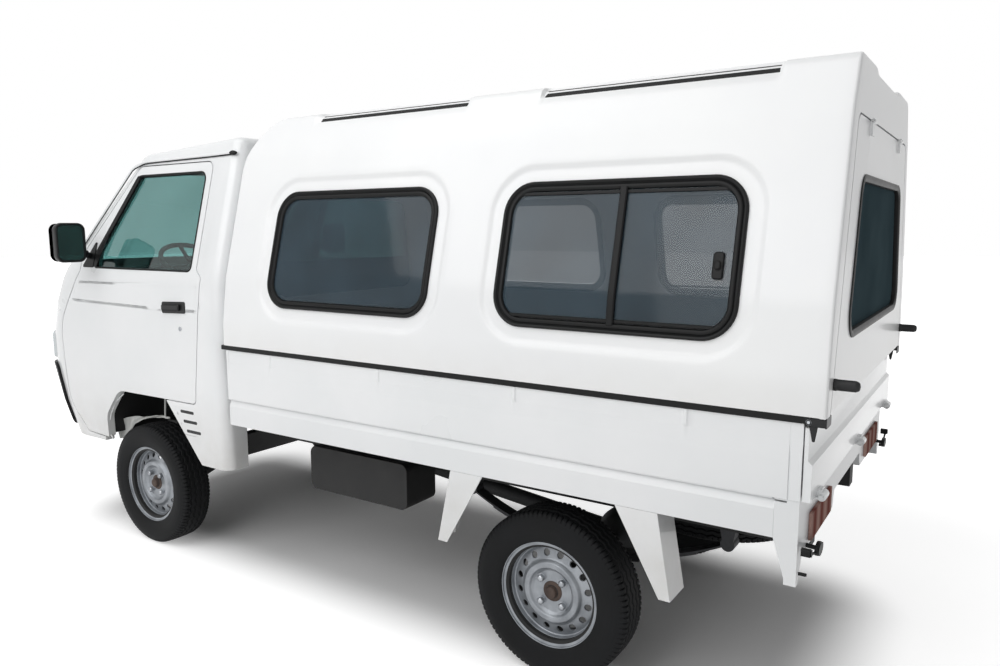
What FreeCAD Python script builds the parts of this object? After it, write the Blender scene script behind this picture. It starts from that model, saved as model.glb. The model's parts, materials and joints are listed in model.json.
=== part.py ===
"""Light cab-over pickup with a moulded hardtop canopy, built as separate pieces.

Millimetres. +X is the vehicle's left, -Y its front, +Z up. The origin is on the
ground, midway between the foremost and the rearmost point.
"""
import FreeCAD, Part
import math
import os

V = FreeCAD.Vector

# Overall sizes
length = 3710.0
wheelbase = 2050.0
front_overhang = 790.0
body_width = 1390.0
cab_height = 1788.0
cab_length = 1390.0
canopy_top = 1850.0

# Gaps: an open seam, pieces that rest on each other, a running fit, and how far cutters overrun
seam = 5.0
seat_gap = 0.3
running_fit = 0.05
overrun = 60.0

# Cab sheet and glass
cab_wall = 42.0
door_wall = 34.0
jamb_lap = 14.0
roof_wall = 28.0
nose_corner = 166.0
rear_corner = 48.0
roof_edge_radius = 30.0
glass_thickness = 5.0
glass_inset = 12.0
floor_sheet = 8.0
foot_pan_z = 470.0
seat_deck_z = 712.0

# Bed
bed_gap = 42.0
tail_reach = 145.0
deck_top = 747.0
deck_sheet = 20.0
deck_rise = 6.0
sill_low_z = 646.0
sill_sheet = 12.0
gate_wall = 26.0
gate_recess = 10.0
tailgate_thickness = 20.0
tailgate_drop = 28.0
post_depth = 30.0

# Canopy
canopy_base = 966.0
canopy_wall = 26.0
canopy_front_gap = 14.0
canopy_overhang = 83.0
seal_height = 18.0

# Wheels
tyre_diameter = 544.0
tyre_width = 148.0
rim_flange_diameter = 337.0
rim_seat_diameter = 305.0
rim_width = 112.0
rim_sheet = 5.0
front_track = 1196.0
rear_track = 1112.0
hub_bore_radius = 22.0
stub_reach = 30.0

# Chassis rails
rail_width = 60.0
rail_height = 90.0
rail_centre_x = 320.0
rail_front_z = 380.0
rail_rear_z = 500.0
cross_tube_radius = 28.0

# Places that follow from the sizes
cab_front = -length / 2
cab_rear = cab_front + cab_length
bed_front = cab_rear + bed_gap
bed_rear = length / 2 - tail_reach
bed_length = bed_rear - bed_front
half_width = body_width / 2
tyre_radius = tyre_diameter / 2
axle_z = tyre_radius
front_axle_y = cab_front + front_overhang
rear_axle_y = front_axle_y + wheelbase
gate_top = canopy_base - seal_height - seat_gap
tailgate_top = canopy_base - tailgate_drop
canopy_front = cab_rear + canopy_front_gap
canopy_rear = bed_rear + canopy_overhang
canopy_length = canopy_rear - canopy_front
canopy_rise = canopy_top - canopy_base
side_far = half_width + overrun
stub_radius = hub_bore_radius - running_fit
rail_in_x = rail_centre_x - rail_width / 2
rail_out_x = rail_centre_x + rail_width / 2


# Helpers

def rounded_wire(points, place):
    """Closed wire through (a, b, radius) corners; place turns (a, b) into a vector."""
    corners = [V(a, b, 0) for a, b, r in points]
    edges = []
    turns = []
    count = len(points)
    for i in range(count):
        here = corners[i]
        back = corners[i - 1] - here
        ahead = corners[(i + 1) % count] - here
        back.normalize()
        ahead.normalize()
        radius = points[i][2]
        if radius <= 0:
            turns.append((here, here, None))
            continue
        half = back.getAngle(ahead) / 2
        run = radius / math.tan(half)
        middle = back + ahead
        middle.normalize()
        bulge = here + middle * (radius / math.sin(half) - radius)
        turns.append((here + back * run, here + ahead * run, bulge))
    for i in range(count):
        enter, leave, bulge = turns[i]
        if bulge is not None:
            arc = Part.Arc(place(enter.x, enter.y), place(bulge.x, bulge.y), place(leave.x, leave.y))
            edges.append(arc.toShape())
        following = turns[(i + 1) % count][0]
        if leave.distanceToPoint(following) > seat_gap * seat_gap:
            edges.append(Part.makeLine(place(leave.x, leave.y), place(following.x, following.y)))
    return Part.Wire(edges)


def prism_x(points, low, high):
    """Outline of (y, z, radius) carried along X."""
    wire = rounded_wire(points, lambda a, b: V(low, a, b))
    return Part.Face(wire).extrude(V(high - low, 0, 0))


def prism_y(points, low, high):
    """Outline of (x, z, radius) carried along Y."""
    wire = rounded_wire(points, lambda a, b: V(a, low, b))
    return Part.Face(wire).extrude(V(0, high - low, 0))


def prism_z(points, z, along):
    """Plan outline of (x, y, radius) at height z carried along a vector."""
    wire = rounded_wire(points, lambda a, b: V(a, b, z))
    return Part.Face(wire).extrude(along)


def box(x0, x1, y0, y1, z0, z1):
    return Part.makeBox(x1 - x0, y1 - y0, z1 - z0, V(x0, y0, z0))


def rod(radius, start, end):
    along = end - start
    return Part.makeCylinder(radius, along.Length, start, along)


def ring_of(points, centre, side):
    """Revolve an (offset, radius) outline about the axle line through centre."""
    wire = Part.makePolygon([V(centre.x + side * a, centre.y, centre.z + r) for a, r in points + points[:1]])
    return Part.Face(wire).revolve(centre, V(1, 0, 0), 360)


def mirrored(shape):
    return shape.mirror(V(0, 0, 0), V(1, 0, 0))


def both_sides(shape):
    return Part.makeCompound([shape, mirrored(shape)])


def fused(shapes):
    return shapes[0].multiFuse(shapes[1:]).removeSplitter()


def save(name, shape):
    shape.exportStep("parts/" + name + ".step")
    print(name, "solids", len(shape.Solids), "valid", shape.isValid(), "volume", round(shape.Volume))


# Cab form

# Height, half width and setback of the nose's creases, as shares of cab height, half width and cab length
crease_shares = [
    (0.246, 0.984, 0.1153),
    (0.336, 0.993, 0.0533),
    (0.433, 1.000, 0.01007),
    (0.520, 1.000, 0.01007),
    (0.604, 0.9986, 0.0423),
    (0.6655, 0.993, 0.0863),
    (0.6935, 0.981, 0.1093),
    (1.060, 0.740, 0.5623),
]
belt_share = 0.6935
roof_front_share, roof_rear_share = 0.976, 0.999
roof_front_place_share = 0.51
belt_z = belt_share * cab_height
cab_forms = {}


def cab_slab(low, high, inset):
    """The cab between two creases: on each side one slanted plan for the nose and one for the back."""
    z0, x0, y0 = low
    z1, x1, y1 = high
    half = x0 - inset
    front = y0 + inset
    rear = cab_rear - inset
    behind = rear + cab_length
    ahead = front - cab_length
    lean = V(x1 - x0, y1 - y0, z1 - z0)
    upright = V(x1 - x0, 0, z1 - z0)
    nose = prism_z([(half, behind, 0.0), (half, front, nose_corner - inset), (-body_width, front, 0.0),
                    (-body_width, behind, 0.0)], z0, lean)
    back = prism_z([(half, ahead, 0.0), (half, rear, max(rear_corner - inset, seam)), (-body_width, rear, 0.0),
                    (-body_width, ahead, 0.0)], z0, upright)
    side = nose.common(back)
    return side.common(mirrored(side))


def cab_solid(inset, top_inset=0.0, drop=0.0):
    """The cab's outer form moved inwards by inset, with its foot lowered by drop."""
    key = (inset, top_inset, drop)
    if key in cab_forms:
        return cab_forms[key]
    rows = [(t * cab_height, s * half_width, cab_front + d * cab_length) for t, s, d in crease_shares]
    if drop:
        rows.insert(0, (rows[0][0] - drop, rows[0][1], rows[0][2]))
    body = fused([cab_slab(a, b, inset) for a, b in zip(rows, rows[1:])])
    front_z = roof_front_share * cab_height - top_inset
    rear_z = roof_rear_share * cab_height - top_inset
    slope = (rear_z - front_z) / (cab_length * (1 - roof_front_place_share))
    knee_y = cab_front + roof_front_place_share * cab_length
    ahead, behind = knee_y - cab_length, cab_rear + overrun
    under = prism_x([(ahead, 0.0, 0.0), (behind, 0.0, 0.0), (behind, front_z + slope * (behind - knee_y), 0.0),
                     (ahead, front_z + slope * (ahead - knee_y), 0.0)], -side_far, side_far)
    cab_forms[key] = body.common(under)
    return cab_forms[key]


def softened_roof(solid):
    """Round the edges where the roof meets the sides, the windshield and the back."""
    top = max(solid.Faces, key=lambda f: f.CenterOfMass.z)
    return solid.makeFillet(roof_edge_radius, top.Edges)


def cab_points(shares):
    """Side view places given as shares of the cab's length and height."""
    return [(cab_front + s * cab_length, t * cab_height, r * cab_height) for s, t, r in shares]


def arch_points(shares):
    """Side view places round the front wheel, as shares of the tyre's radius from the axle."""
    return [(front_axle_y + s * tyre_radius, axle_z + t * tyre_radius, r * tyre_radius) for s, t, r in shares]


def grown(points, low_x, high_x, grow):
    """Prism of a side outline moved outwards by grow."""
    wire = rounded_wire(points, lambda a, b: V(low_x, a, b)).makeOffset2D(grow, 0, False, False, False)
    return Part.Face(wire).extrude(V(high_x - low_x, 0, 0))


door_nose_shares = [(0.526, 0.946, 0.034), (0.279, 0.727, 0.03), (0.279, 0.690, 0.01), (0.145, 0.545, 0.12),
                    (0.163, 0.335, 0.10), (0.262, 0.262, 0.02)]
door_arch_shares = [(-0.96, 0.696, 0.03), (-0.952, 1.09, 0.30), (-0.52, 1.56, 0.35)]
door_tail_shares = [(0.870, 0.392, 0.012), (0.917, 0.684, 0.012), (0.892, 0.702, 0.008), (0.892, 0.946, 0.020)]
door_window_shares = [(0.363, 0.698, 0.006), (0.867, 0.698, 0.012), (0.867, 0.924, 0.020), (0.527, 0.924, 0.022),
                      (0.363, 0.7355, 0.010)]
nose_region_shares = [(-0.2, 0.2, 0.0), (0.36, 0.2, 0.0), (0.36, belt_share, 0.0), (-0.2, belt_share, 0.0)]
quarter_front_shares = [(-0.2, belt_share, 0.0), (0.72, belt_share, 0.0)]
quarter_arch_shares = [(0.80, 1.555, 0.05), (1.577, 0.614, 0.04)]
quarter_back_shares = [(1.2, 1.2, 0.0), (-0.2, 1.2, 0.0)]
slot_shares = [(1.199, 1.379), (1.271, 1.228), (1.349, 1.077)]
slot_length = 74.0
slot_height = 13.0

# Half widths and heights as shares of half width and cab height
windshield_shares = [(-0.87, 0.712, 0.03), (0.87, 0.712, 0.03), (0.735, 0.940, 0.03), (-0.735, 0.940, 0.03)]
rear_window_shares = [(-0.69, 0.715, 0.03), (0.69, 0.715, 0.03), (0.64, 0.875, 0.03), (-0.64, 0.875, 0.03)]
back_opening_share = 0.84

door_points = cab_points(door_nose_shares) + arch_points(door_arch_shares) + cab_points(door_tail_shares)
quarter_foot = arch_points(quarter_arch_shares)
quarter_points = (cab_points(quarter_front_shares) + quarter_foot
                  + [(cab_rear + overrun, quarter_foot[1][1], 0.0)] + cab_points(quarter_back_shares))


def wide_outline(shares):
    return [(s * half_width, t * cab_height, r * cab_height) for s, t, r in shares]


outer = softened_roof(cab_solid(0.0))
inner = cab_solid(cab_wall, roof_wall, overrun)
cab_skin = outer.cut(inner)
cab_glass_skin = cab_solid(glass_inset, roof_wall).cut(cab_solid(glass_inset + glass_thickness, roof_wall))
jamb_skin = cab_solid(0.0).cut(cab_solid(door_wall + seat_gap, roof_wall, overrun))
door_cut = jamb_skin.common(grown(door_points, 0.0, side_far, seam))
door_cut = door_cut.fuse(grown(door_points, 0.0, side_far, -jamb_lap))
door_window = prism_x(cab_points(door_window_shares), 0.0, side_far)
windshield_prism = prism_y(wide_outline(windshield_shares), cab_front - overrun, cab_front + cab_length * 0.6)
rear_window_prism = prism_y(wide_outline(rear_window_shares), cab_rear - cab_wall * 2, cab_rear + overrun)
back_half = back_opening_share * half_width
back_cut = box(-back_half, back_half, cab_rear - cab_wall - overrun, cab_rear + overrun, 0,
               seat_deck_z + floor_sheet)


def cab_shell():
    """Roof, pillars, back wall and the rear quarters with their louvres."""
    shape = cab_skin.common(prism_x(quarter_points, -side_far, side_far))
    shape = shape.cut(door_cut).cut(mirrored(door_cut))
    shape = shape.cut(back_cut).cut(windshield_prism).cut(rear_window_prism)
    for s, t in slot_shares:
        y = front_axle_y + s * tyre_radius
        z = axle_z + t * tyre_radius
        shape = shape.cut(box(-side_far, side_far, y - slot_length / 2, y + slot_length / 2,
                              z - slot_height / 2, z + slot_height / 2))
    return shape


def front_panel():
    shape = cab_skin.common(prism_x(cab_points(nose_region_shares), -side_far, side_far))
    return shape.cut(door_cut).cut(mirrored(door_cut))


def door():
    """Whole door: skin, frame and its hollow kept as one wall, with the window cut."""
    slab = outer.cut(cab_solid(door_wall, roof_wall, overrun))
    return slab.common(prism_x(door_points, 0.0, side_far)).cut(door_window)


def door_glass():
    return cab_glass_skin.common(door_window)


def cab_glass():
    """Windshield and back window, each filling its opening."""
    return Part.makeCompound([cab_glass_skin.common(windshield_prism), cab_glass_skin.common(rear_window_prism)])


foot_pan_front_share = 0.17
riser_room = 11.0


def cab_floor():
    """Foot pan, riser ahead of the wheels and seat deck, bent from one sheet."""
    front = cab_front + cab_length * foot_pan_front_share
    riser = front_axle_y - tyre_radius - riser_room
    back = cab_rear - cab_wall - seat_gap
    path = [
        (front, foot_pan_z, 0.0), (riser + floor_sheet, foot_pan_z, 0.0), (riser + floor_sheet, seat_deck_z, 0.0),
        (back, seat_deck_z, 0.0), (back, seat_deck_z + floor_sheet, 0.0), (riser, seat_deck_z + floor_sheet, 0.0),
        (riser, foot_pan_z + floor_sheet, 0.0), (front, foot_pan_z + floor_sheet, 0.0),
    ]
    return prism_x(path, -side_far, side_far).common(cab_solid(cab_wall + seat_gap, roof_wall, overrun))


# Cab fittings

dash_depth = 230.0
dash_height = 250.0
dash_front_share = 0.09
# Outline of the dashboard as shares of its depth, its height and its height again for the corners
dash_shares = [(0.0, 0.9, 0.1), (0.0, 0.0, 0.1), (0.6, 0.0, 0.2), (1.0, 0.5, 0.1), (0.8, 0.98, 0.1)]
seat_width = 480.0
seat_depth = 440.0
seat_height = 120.0
seat_back_height = 520.0
seat_back_thickness = 110.0
seat_centre_x = 300.0
# Front edge of the back cushion and its corners, as shares of the back's thickness
seat_lean_share, seat_corner_share = 1.6, 0.3
wheel_rim_radius = 185.0
wheel_band = 24.0
wheel_hub_radius = 52.0
wheel_hub_depth = 45.0
wheel_dish = 12.0
spoke_radius = 11.0
column_radius = 18.0
wheel_place_share = 0.53
column_foot_share = 0.183
wheel_over_belt = 10.0


def dashboard():
    base = cab_front + cab_length * dash_front_share
    low = belt_z - dash_height
    outline = [(base + s * dash_depth, low + t * dash_height, r * dash_height) for s, t, r in dash_shares]
    return prism_x(outline, -side_far, side_far).common(cab_solid(cab_wall + seat_gap, roof_wall))


def seat(centre_x):
    half = seat_width / 2
    back_y = cab_rear - cab_wall - seam
    low = seat_deck_z + floor_sheet + seat_gap
    face_y = back_y - seat_back_thickness
    corner = seat_back_thickness * seat_corner_share
    outline = [
        (face_y - seat_depth, low, corner), (face_y - seat_depth, low + seat_height, corner),
        (back_y - seat_back_thickness * seat_lean_share, low + seat_height, corner),
        (face_y, low + seat_back_height, corner), (back_y - seat_gap, low + seat_back_height, corner),
        (back_y, low, 0.0),
    ]
    return prism_x(outline, centre_x - half, centre_x + half)


def seats():
    return Part.makeCompound([seat(seat_centre_x), seat(-seat_centre_x)])


def steering_wheel():
    """Rim, three spokes, hub and the column shaft on one leaning axis."""
    centre = V(seat_centre_x, cab_front + cab_length * wheel_place_share, belt_z + wheel_over_belt)
    drop = centre.z - foot_pan_z - floor_sheet - seat_gap
    lean = math.atan2(cab_length * (wheel_place_share - column_foot_share), drop)
    axis = V(0, -math.sin(lean), -math.cos(lean))
    low = centre - axis * (wheel_band / 2)
    rim_ring = rod(wheel_rim_radius, low, low + axis * wheel_band)
    rim_ring = rim_ring.cut(rod(wheel_rim_radius - wheel_band, low - axis * overrun, low + axis * overrun))
    hub_start = centre + axis * wheel_dish
    hub = rod(wheel_hub_radius, hub_start, hub_start + axis * wheel_hub_depth)
    reach = (drop - column_radius * math.sin(lean)) / math.cos(lean)
    middle = hub_start + axis * (wheel_hub_depth / 2)
    shaft = rod(column_radius, middle, centre + axis * reach)
    across = V(1, 0, 0)
    up = axis.cross(across)
    spokes = []
    for turn in (0, 180, 270):
        a = math.radians(turn)
        tip = centre + (across * math.cos(a) + up * math.sin(a)) * (wheel_rim_radius - wheel_band / 2)
        spokes.append(rod(spoke_radius, middle, tip))
    return fused([rim_ring, hub, shaft] + spokes)


# Front end

bumper_depth = 14.0
bumper_shares = [(-0.2, 0.262, 0.0), (0.155, 0.262, 0.02), (0.105, 0.436, 0.02), (-0.2, 0.436, 0.0)]
intake_width = 300.0
intake_height = 26.0
intake_apart = 340.0
# Heights of the intake slots as shares of the cab's height
intake_shares = (0.335, 0.360, 0.385)
lamp_proud = 12.0
lamp_shares = [(0.62, 0.445, 0.012), (0.985, 0.445, 0.012), (0.985, 0.52, 0.02), (0.62, 0.505, 0.02)]
lamp_wrap_share = 0.09


def front_bumper():
    """Band round the nose below the lamps, standing proud of it, with two rows of intake slots."""
    band = cab_solid(-bumper_depth).cut(cab_solid(-seat_gap, 0.0, overrun))
    band = band.common(prism_x(cab_points(bumper_shares), -side_far, side_far))
    for share in intake_shares:
        z = share * cab_height
        for side in (-1, 1):
            x = side * intake_apart / 2
            band = band.cut(box(x - intake_width / 2, x + intake_width / 2, cab_front - overrun, front_axle_y,
                                z - intake_height / 4, z + intake_height / 4))
    return band


def headlamps():
    band = cab_solid(-lamp_proud).cut(cab_solid(-seat_gap))
    region = prism_y(wide_outline(lamp_shares), cab_front - overrun, cab_front + cab_length * lamp_wrap_share)
    return both_sides(band.common(region))


# Bed

bearer_width = 60.0
bearer_count = 5
bearer_start_share, bearer_step_share = 0.06, 0.21
rib_shares = (0.115, 0.370, 0.626, 0.876)
rib_width = 14.0
# Height of the recessed upper band of the gates, as a share of their height
band_share = 0.44


def bed_floor():
    """Deck sheet, folded sills and the cross bearers that sit on the rails."""
    deck_low = deck_top - deck_sheet
    inside = half_width - sill_sheet
    deck_half = inside - seat_gap
    plate_half = half_width - gate_wall - seam
    deck = box(-deck_half, deck_half, bed_front, bed_rear, deck_low, deck_top)
    plate = box(-plate_half, plate_half, bed_front + gate_wall + seam, bed_rear, deck_low, deck_top + deck_rise)
    fold = sill_sheet / 2
    sill = prism_y([
        (inside - gate_recess, deck_low, 0.0), (half_width - gate_recess, deck_top, 0.0),
        (half_width, deck_low - fold, 0.0), (half_width, sill_low_z, 0.0),
        (inside, sill_low_z, 0.0), (inside, deck_low - sill_sheet, 0.0),
    ], bed_front, bed_rear - post_depth)
    shapes = [deck, plate, sill, mirrored(sill)]
    foot_z = rail_rear_z + rail_height
    for i in range(bearer_count):
        y = bed_front + bed_length * (bearer_start_share + bearer_step_share * i)
        shapes.append(box(-inside, inside, y, y + bearer_width, deck_top - bearer_width, deck_low))
        for x0 in (rail_in_x, -rail_out_x):
            shapes.append(box(x0, x0 + rail_width, y, y + bearer_width, foot_z, deck_low))
    return fused(shapes)


def side_gate():
    """Dropside with a recessed upper band and upright ribs."""
    low = deck_top + seat_gap
    ledge = gate_top - (gate_top - deck_top) * band_share
    face = half_width - gate_recess
    outline = [
        (half_width, low, 0.0), (half_width, ledge - gate_recess, 0.0), (face, ledge, 0.0),
        (face, gate_top, 0.0), (half_width - gate_wall, gate_top, 0.0), (half_width - gate_wall, low, 0.0),
    ]
    shapes = [prism_y(outline, bed_front, bed_rear - post_depth - seam)]
    root = face - gate_recess / 2
    for share in rib_shares:
        y = bed_front + share * bed_length
        shapes.append(prism_y([(root, ledge - gate_recess, 0.0), (half_width, ledge - gate_recess, 0.0),
                               (face, gate_top, 0.0), (root, gate_top, 0.0)], y, y + rib_width))
    return fused(shapes)


def headboard():
    """Front wall of the bed between the side gates."""
    half = half_width - gate_wall - seat_gap
    return box(-half, half, bed_front, bed_front + gate_wall, deck_top + seat_gap, gate_top)


# Outline of the apron's right half from its foot to the middle, as shares of half width and of its height
apron_shares = [(1.0, 0.0, 0.0), (0.97, 0.0, 0.0), (0.92, 0.31, 0.05), (0.345, 0.31, 0.05), (0.324, 0.55, 0.05)]
leg_low_z = 530.0
# Pins of the tailgate: radii, widths of the eye and its ears, and how far they stand out
pin_radius = 6.0
eye_radius = 12.0
eye_width = 40.0
ear_width = 7.0
eye_play = 1.0
gate_pin_out = 10.0
gate_pin_shares = (-0.86, 0.0, 0.86)
gate_pin_y = bed_rear + post_depth + seam + tailgate_thickness + gate_pin_out


def rear_apron():
    """Cross panel under the tailgate with its corner legs and the corner posts above."""
    high = deck_top - seam
    rise = high - leg_low_z
    face = bed_rear + post_depth
    root = bed_rear - post_depth + seat_gap
    right = [(s * half_width, leg_low_z + t * rise, r * rise) for s, t, r in apron_shares]
    left = [(-x, z, r) for x, z, r in reversed(right)]
    plate = prism_y(right + left + [(-half_width, high, 0.0), (half_width, high, 0.0)], bed_rear + seat_gap, face)
    leg = prism_x([(root, sill_low_z, 0.0), (bed_rear + seam, leg_low_z, 0.0), (face, leg_low_z, 0.0),
                   (face, high, 0.0), (root, high, 0.0)], half_width - sill_sheet, half_width)
    inside = half_width - gate_wall
    post = box(inside, half_width, root, face, deck_top + seat_gap, gate_top)
    foot = box(inside, half_width, bed_rear + seat_gap, face, high - seam, deck_top + seat_gap + seam)
    shapes = [plate, leg, mirrored(leg), post, mirrored(post), foot, mirrored(foot)]
    reach = eye_width / 2 + ear_width
    for share in gate_pin_shares:
        x = share * half_width
        shapes.append(rod(pin_radius, V(x - reach, gate_pin_y, deck_top), V(x + reach, gate_pin_y, deck_top)))
        for x0 in (x - reach, x + reach - ear_width):
            shapes.append(box(x0, x0 + ear_width, face - seam, gate_pin_y, deck_top - pin_radius, deck_top))
    return fused(shapes)


# Tail lamps: their edges as shares of half width and of the apron's height
tail_in_share, tail_out_share = 0.45, 0.827
tail_low_share, tail_high_share = 0.375, 0.73
tail_lamp_proud = 9.0


def tail_lamps():
    rise = deck_top - seam - leg_low_z
    low, high = leg_low_z + tail_low_share * rise, leg_low_z + tail_high_share * rise
    near, far = half_width * tail_in_share, half_width * tail_out_share
    back = bed_rear + post_depth + seat_gap
    points = [(near, low, seam), (far, low, seam), (far, high, seam), (near, high, seam)]
    return both_sides(prism_y(points, back, back + tail_lamp_proud))


def tailgate():
    """Drop gate across the back with the same recessed band, hinged on its bottom edge."""
    face = bed_rear + post_depth + seam
    low = deck_top + seam
    ledge = tailgate_top - (tailgate_top - low) * band_share
    back = face + tailgate_thickness
    outline = [(face, low, 0.0), (back, low, 0.0), (back, ledge - gate_recess, 0.0), (back - gate_recess, ledge, 0.0),
               (back - gate_recess, tailgate_top, 0.0), (face, tailgate_top, 0.0)]
    shapes = [prism_x(outline, -half_width, half_width)]
    bores = []
    half = eye_width / 2 - eye_play
    for share in gate_pin_shares:
        x = share * half_width
        shapes.append(rod(eye_radius, V(x - half, gate_pin_y, deck_top), V(x + half, gate_pin_y, deck_top)))
        shapes.append(box(x - half, x + half, back - eye_play, gate_pin_y, deck_top, low + eye_radius))
        bores.append(rod(pin_radius + running_fit, V(x - eye_width, gate_pin_y, deck_top),
                         V(x + eye_width, gate_pin_y, deck_top)))
    return fused(shapes).cut(Part.makeCompound(bores))


guard_sheet = 4.0
guard_web = 110.0
guard_ribs = (0.25, 0.55, 0.85)
guard_rib_depth = 8.0
guard_low_z = 400.0
# Top and bottom ends of each guard's wheel edge and far edge, as shares of the tyre's radius from the axle
front_guard_shares = {"wheel": (-0.70, -1.22), "far": (-1.16, -1.357)}
rear_guard_shares = {"wheel": (0.96, 1.463), "far": (1.43, 1.588)}


def wheel_guards():
    """Splash guards that hang from the sill before and behind each rear wheel, with ribbed webs."""
    shapes = []
    high = sill_low_z - seat_gap
    inside = half_width - guard_web
    for shares, way in ((front_guard_shares, -1), (rear_guard_shares, 1)):
        wheel_top, wheel_low = (rear_axle_y + s * tyre_radius for s in shares["wheel"])
        far_top, far_low = (rear_axle_y + s * tyre_radius for s in shares["far"])
        face = prism_x([(wheel_top, high, 0.0), (far_top, high, 0.0), (far_low, guard_low_z, 0.0),
                        (wheel_low, guard_low_z, 0.0)], half_width - guard_sheet, half_width)

        def strip(start, depth, x0, x1):
            top, low = far_top - way * start, far_low - way * start
            return prism_x([(top, high, 0.0), (low, guard_low_z, 0.0), (low - way * depth, guard_low_z, 0.0),
                            (top - way * depth, high, 0.0)], x0, x1)

        pieces = [face, strip(0.0, guard_sheet, inside, half_width)]
        for share in guard_ribs:
            x = inside + share * (guard_web - guard_rib_depth)
            pieces.append(strip(guard_sheet / 2, guard_rib_depth, x, x + guard_sheet))
        shapes.append(fused(pieces))
    return Part.makeCompound(shapes + [mirrored(s) for s in shapes])


# Canopy form

# Wall from its foot to the roof's middle: half widths and heights as shares of half width and canopy rise
wall_shares = [(1.007, 0.0, 0.0), (1.004, 0.095, 0.10), (0.970, 0.299, 0.30), (0.796, 0.837, 0.10),
               (0.700, 0.998, 0.045), (0.345, 1.0, 0.01), (0.300, 0.982, 0.01)]
nose_run_share, nose_drop_share = 0.107, 0.24
nose_bulge_shares = (0.27, 0.70)
front_window_shares = (0.1155, 0.4520)
rear_window_span_shares = (0.5700, 0.8970)
window_low_share, window_high_share = 0.187, 0.664
window_corner_share = 0.104
frame_band = 26.0
slider_post_share, slider_post_width = 0.742, 18.0
emboss_band = 50.0
emboss_depth = 5.0
strip_spans_shares = ((0.155, 0.480), (0.593, 0.922))
strip_inner_share, strip_outer_share = 0.655, 0.725
strip_recess = 12.0
strip_sheet = 3.0
hatch_thickness = 26.0
hatch_half_shares = (0.945, 0.70)
hatch_top_share = 0.827
hatch_corner = 40.0
hatch_window_half_shares = (0.70, 0.553)
hatch_window_shares = (0.194, 0.657)
pane_half_shares = (0.65, 0.58)
pane_corner = 60.0


def canopy_z(share):
    return canopy_base + share * canopy_rise


def canopy_y(share):
    return canopy_front + share * canopy_length


def canopy_solid(inset, foot_drop=0.0):
    """The canopy's outer form moved inwards by inset, with its foot lowered by foot_drop."""
    right = []
    for s, t, r in wall_shares:
        z = canopy_z(t) - (inset if t > nose_bulge_shares[1] + nose_drop_share else 0.0)
        right.append((s * half_width - inset, z, r * canopy_rise))
    right[0] = (right[0][0], canopy_base - foot_drop, 0.0)
    left = [(-x, z, r) for x, z, r in reversed(right)]
    front, back = canopy_front + inset, canopy_rear - inset
    section = prism_y(right + left, front, back)
    top = canopy_top - inset
    high = top + overrun
    nose_y, nose_z = canopy_y(nose_run_share), canopy_z(1 - nose_drop_share) - inset
    along, up = nose_bulge_shares
    bulge = V(-side_far, front + (nose_y - front) * along, nose_z + (top - nose_z) * up)
    start, end = V(-side_far, front, nose_z), V(-side_far, nose_y, top)
    rest = [end, V(-side_far, nose_y, high), V(-side_far, back + overrun, high), V(-side_far, back + overrun, 0),
            V(-side_far, front, 0), start]
    lines = [Part.makeLine(a, b) for a, b in zip(rest, rest[1:])]
    profile = Part.Face(Part.Wire([Part.Arc(start, bulge, end).toShape()] + lines))
    return section.common(profile.extrude(V(side_far * 2, 0, 0)))


def side_window(span, shrink=0.0):
    """Rounded window form through both walls, made smaller all round by shrink."""
    y0, y1 = canopy_y(span[0]) + shrink, canopy_y(span[1]) - shrink
    z0, z1 = canopy_z(window_low_share) + shrink, canopy_z(window_high_share) - shrink
    r = window_corner_share * canopy_rise - shrink
    return prism_x([(y0, z0, r), (y1, z0, r), (y1, z1, r), (y0, z1, r)], -side_far, side_far)


def end_form(half_shares, z_low, z_high, grow, low_corner, high_corner, y0, y1):
    """Trapezium seen from the back, carried from y0 to y1."""
    low, high = half_shares[0] * half_width + grow, half_shares[1] * half_width + grow
    return prism_y([(low, z_low, low_corner), (high, z_high, high_corner), (-high, z_high, high_corner),
                    (-low, z_low, low_corner)], y0, y1)


def hatch_form(grow):
    return end_form(hatch_half_shares, canopy_base - seam - grow, canopy_z(hatch_top_share) + grow, grow, 0.0,
                    hatch_corner, canopy_rear - canopy_wall * 4, canopy_rear + overrun)


def hatch_window(shrink=0.0):
    low, high = (canopy_z(s) for s in hatch_window_shares)
    return end_form(hatch_window_half_shares, low + shrink, high - shrink, -shrink, pane_corner, pane_corner,
                    canopy_rear - canopy_wall * 4, canopy_rear + overrun)


def front_window():
    return end_form(pane_half_shares, canopy_z(window_low_share), canopy_z(window_high_share), 0.0, pane_corner,
                    pane_corner, canopy_front - overrun, canopy_front + canopy_wall * 4)


def strip_region(span, trim):
    """Box round one shoulder's strip, trimmed at its ends."""
    return box(half_width * strip_inner_share + trim, half_width * strip_outer_share - trim,
               canopy_y(span[0]) + trim, canopy_y(span[1]) - trim, canopy_z(hatch_top_share), canopy_top + overrun)


canopy_outer = canopy_solid(0.0)
window_spans = (front_window_shares, rear_window_span_shares)


def canopy_shell():
    """Moulded shell with an embossed field round each side window and let-in places for the roof strips."""
    shape = canopy_outer.cut(canopy_solid(canopy_wall, overrun))
    field = canopy_outer.cut(canopy_solid(emboss_depth, overrun))
    gutter = canopy_outer.cut(canopy_solid(strip_recess, overrun))
    for span in window_spans:
        shape = shape.cut(field.common(side_window(span, -emboss_band))).cut(side_window(span))
    for span in strip_spans_shares:
        place = gutter.common(strip_region(span, 0.0))
        shape = shape.cut(place).cut(mirrored(place))
    shape = shape.cut(front_window()).cut(hatch_form(seam))
    return fused([shape] + [hinge_leaf(side * hatch_hinge_x) for side in (-1, 1)])


def canopy_glass():
    skin = canopy_solid(glass_inset).cut(canopy_solid(glass_inset + glass_thickness, overrun))
    shapes = [skin.common(side_window(span, frame_band)) for span in window_spans]
    shapes[1] = shapes[1].cut(slider_post(seat_gap))
    return Part.makeCompound(shapes + [skin.common(front_window())])


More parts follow.
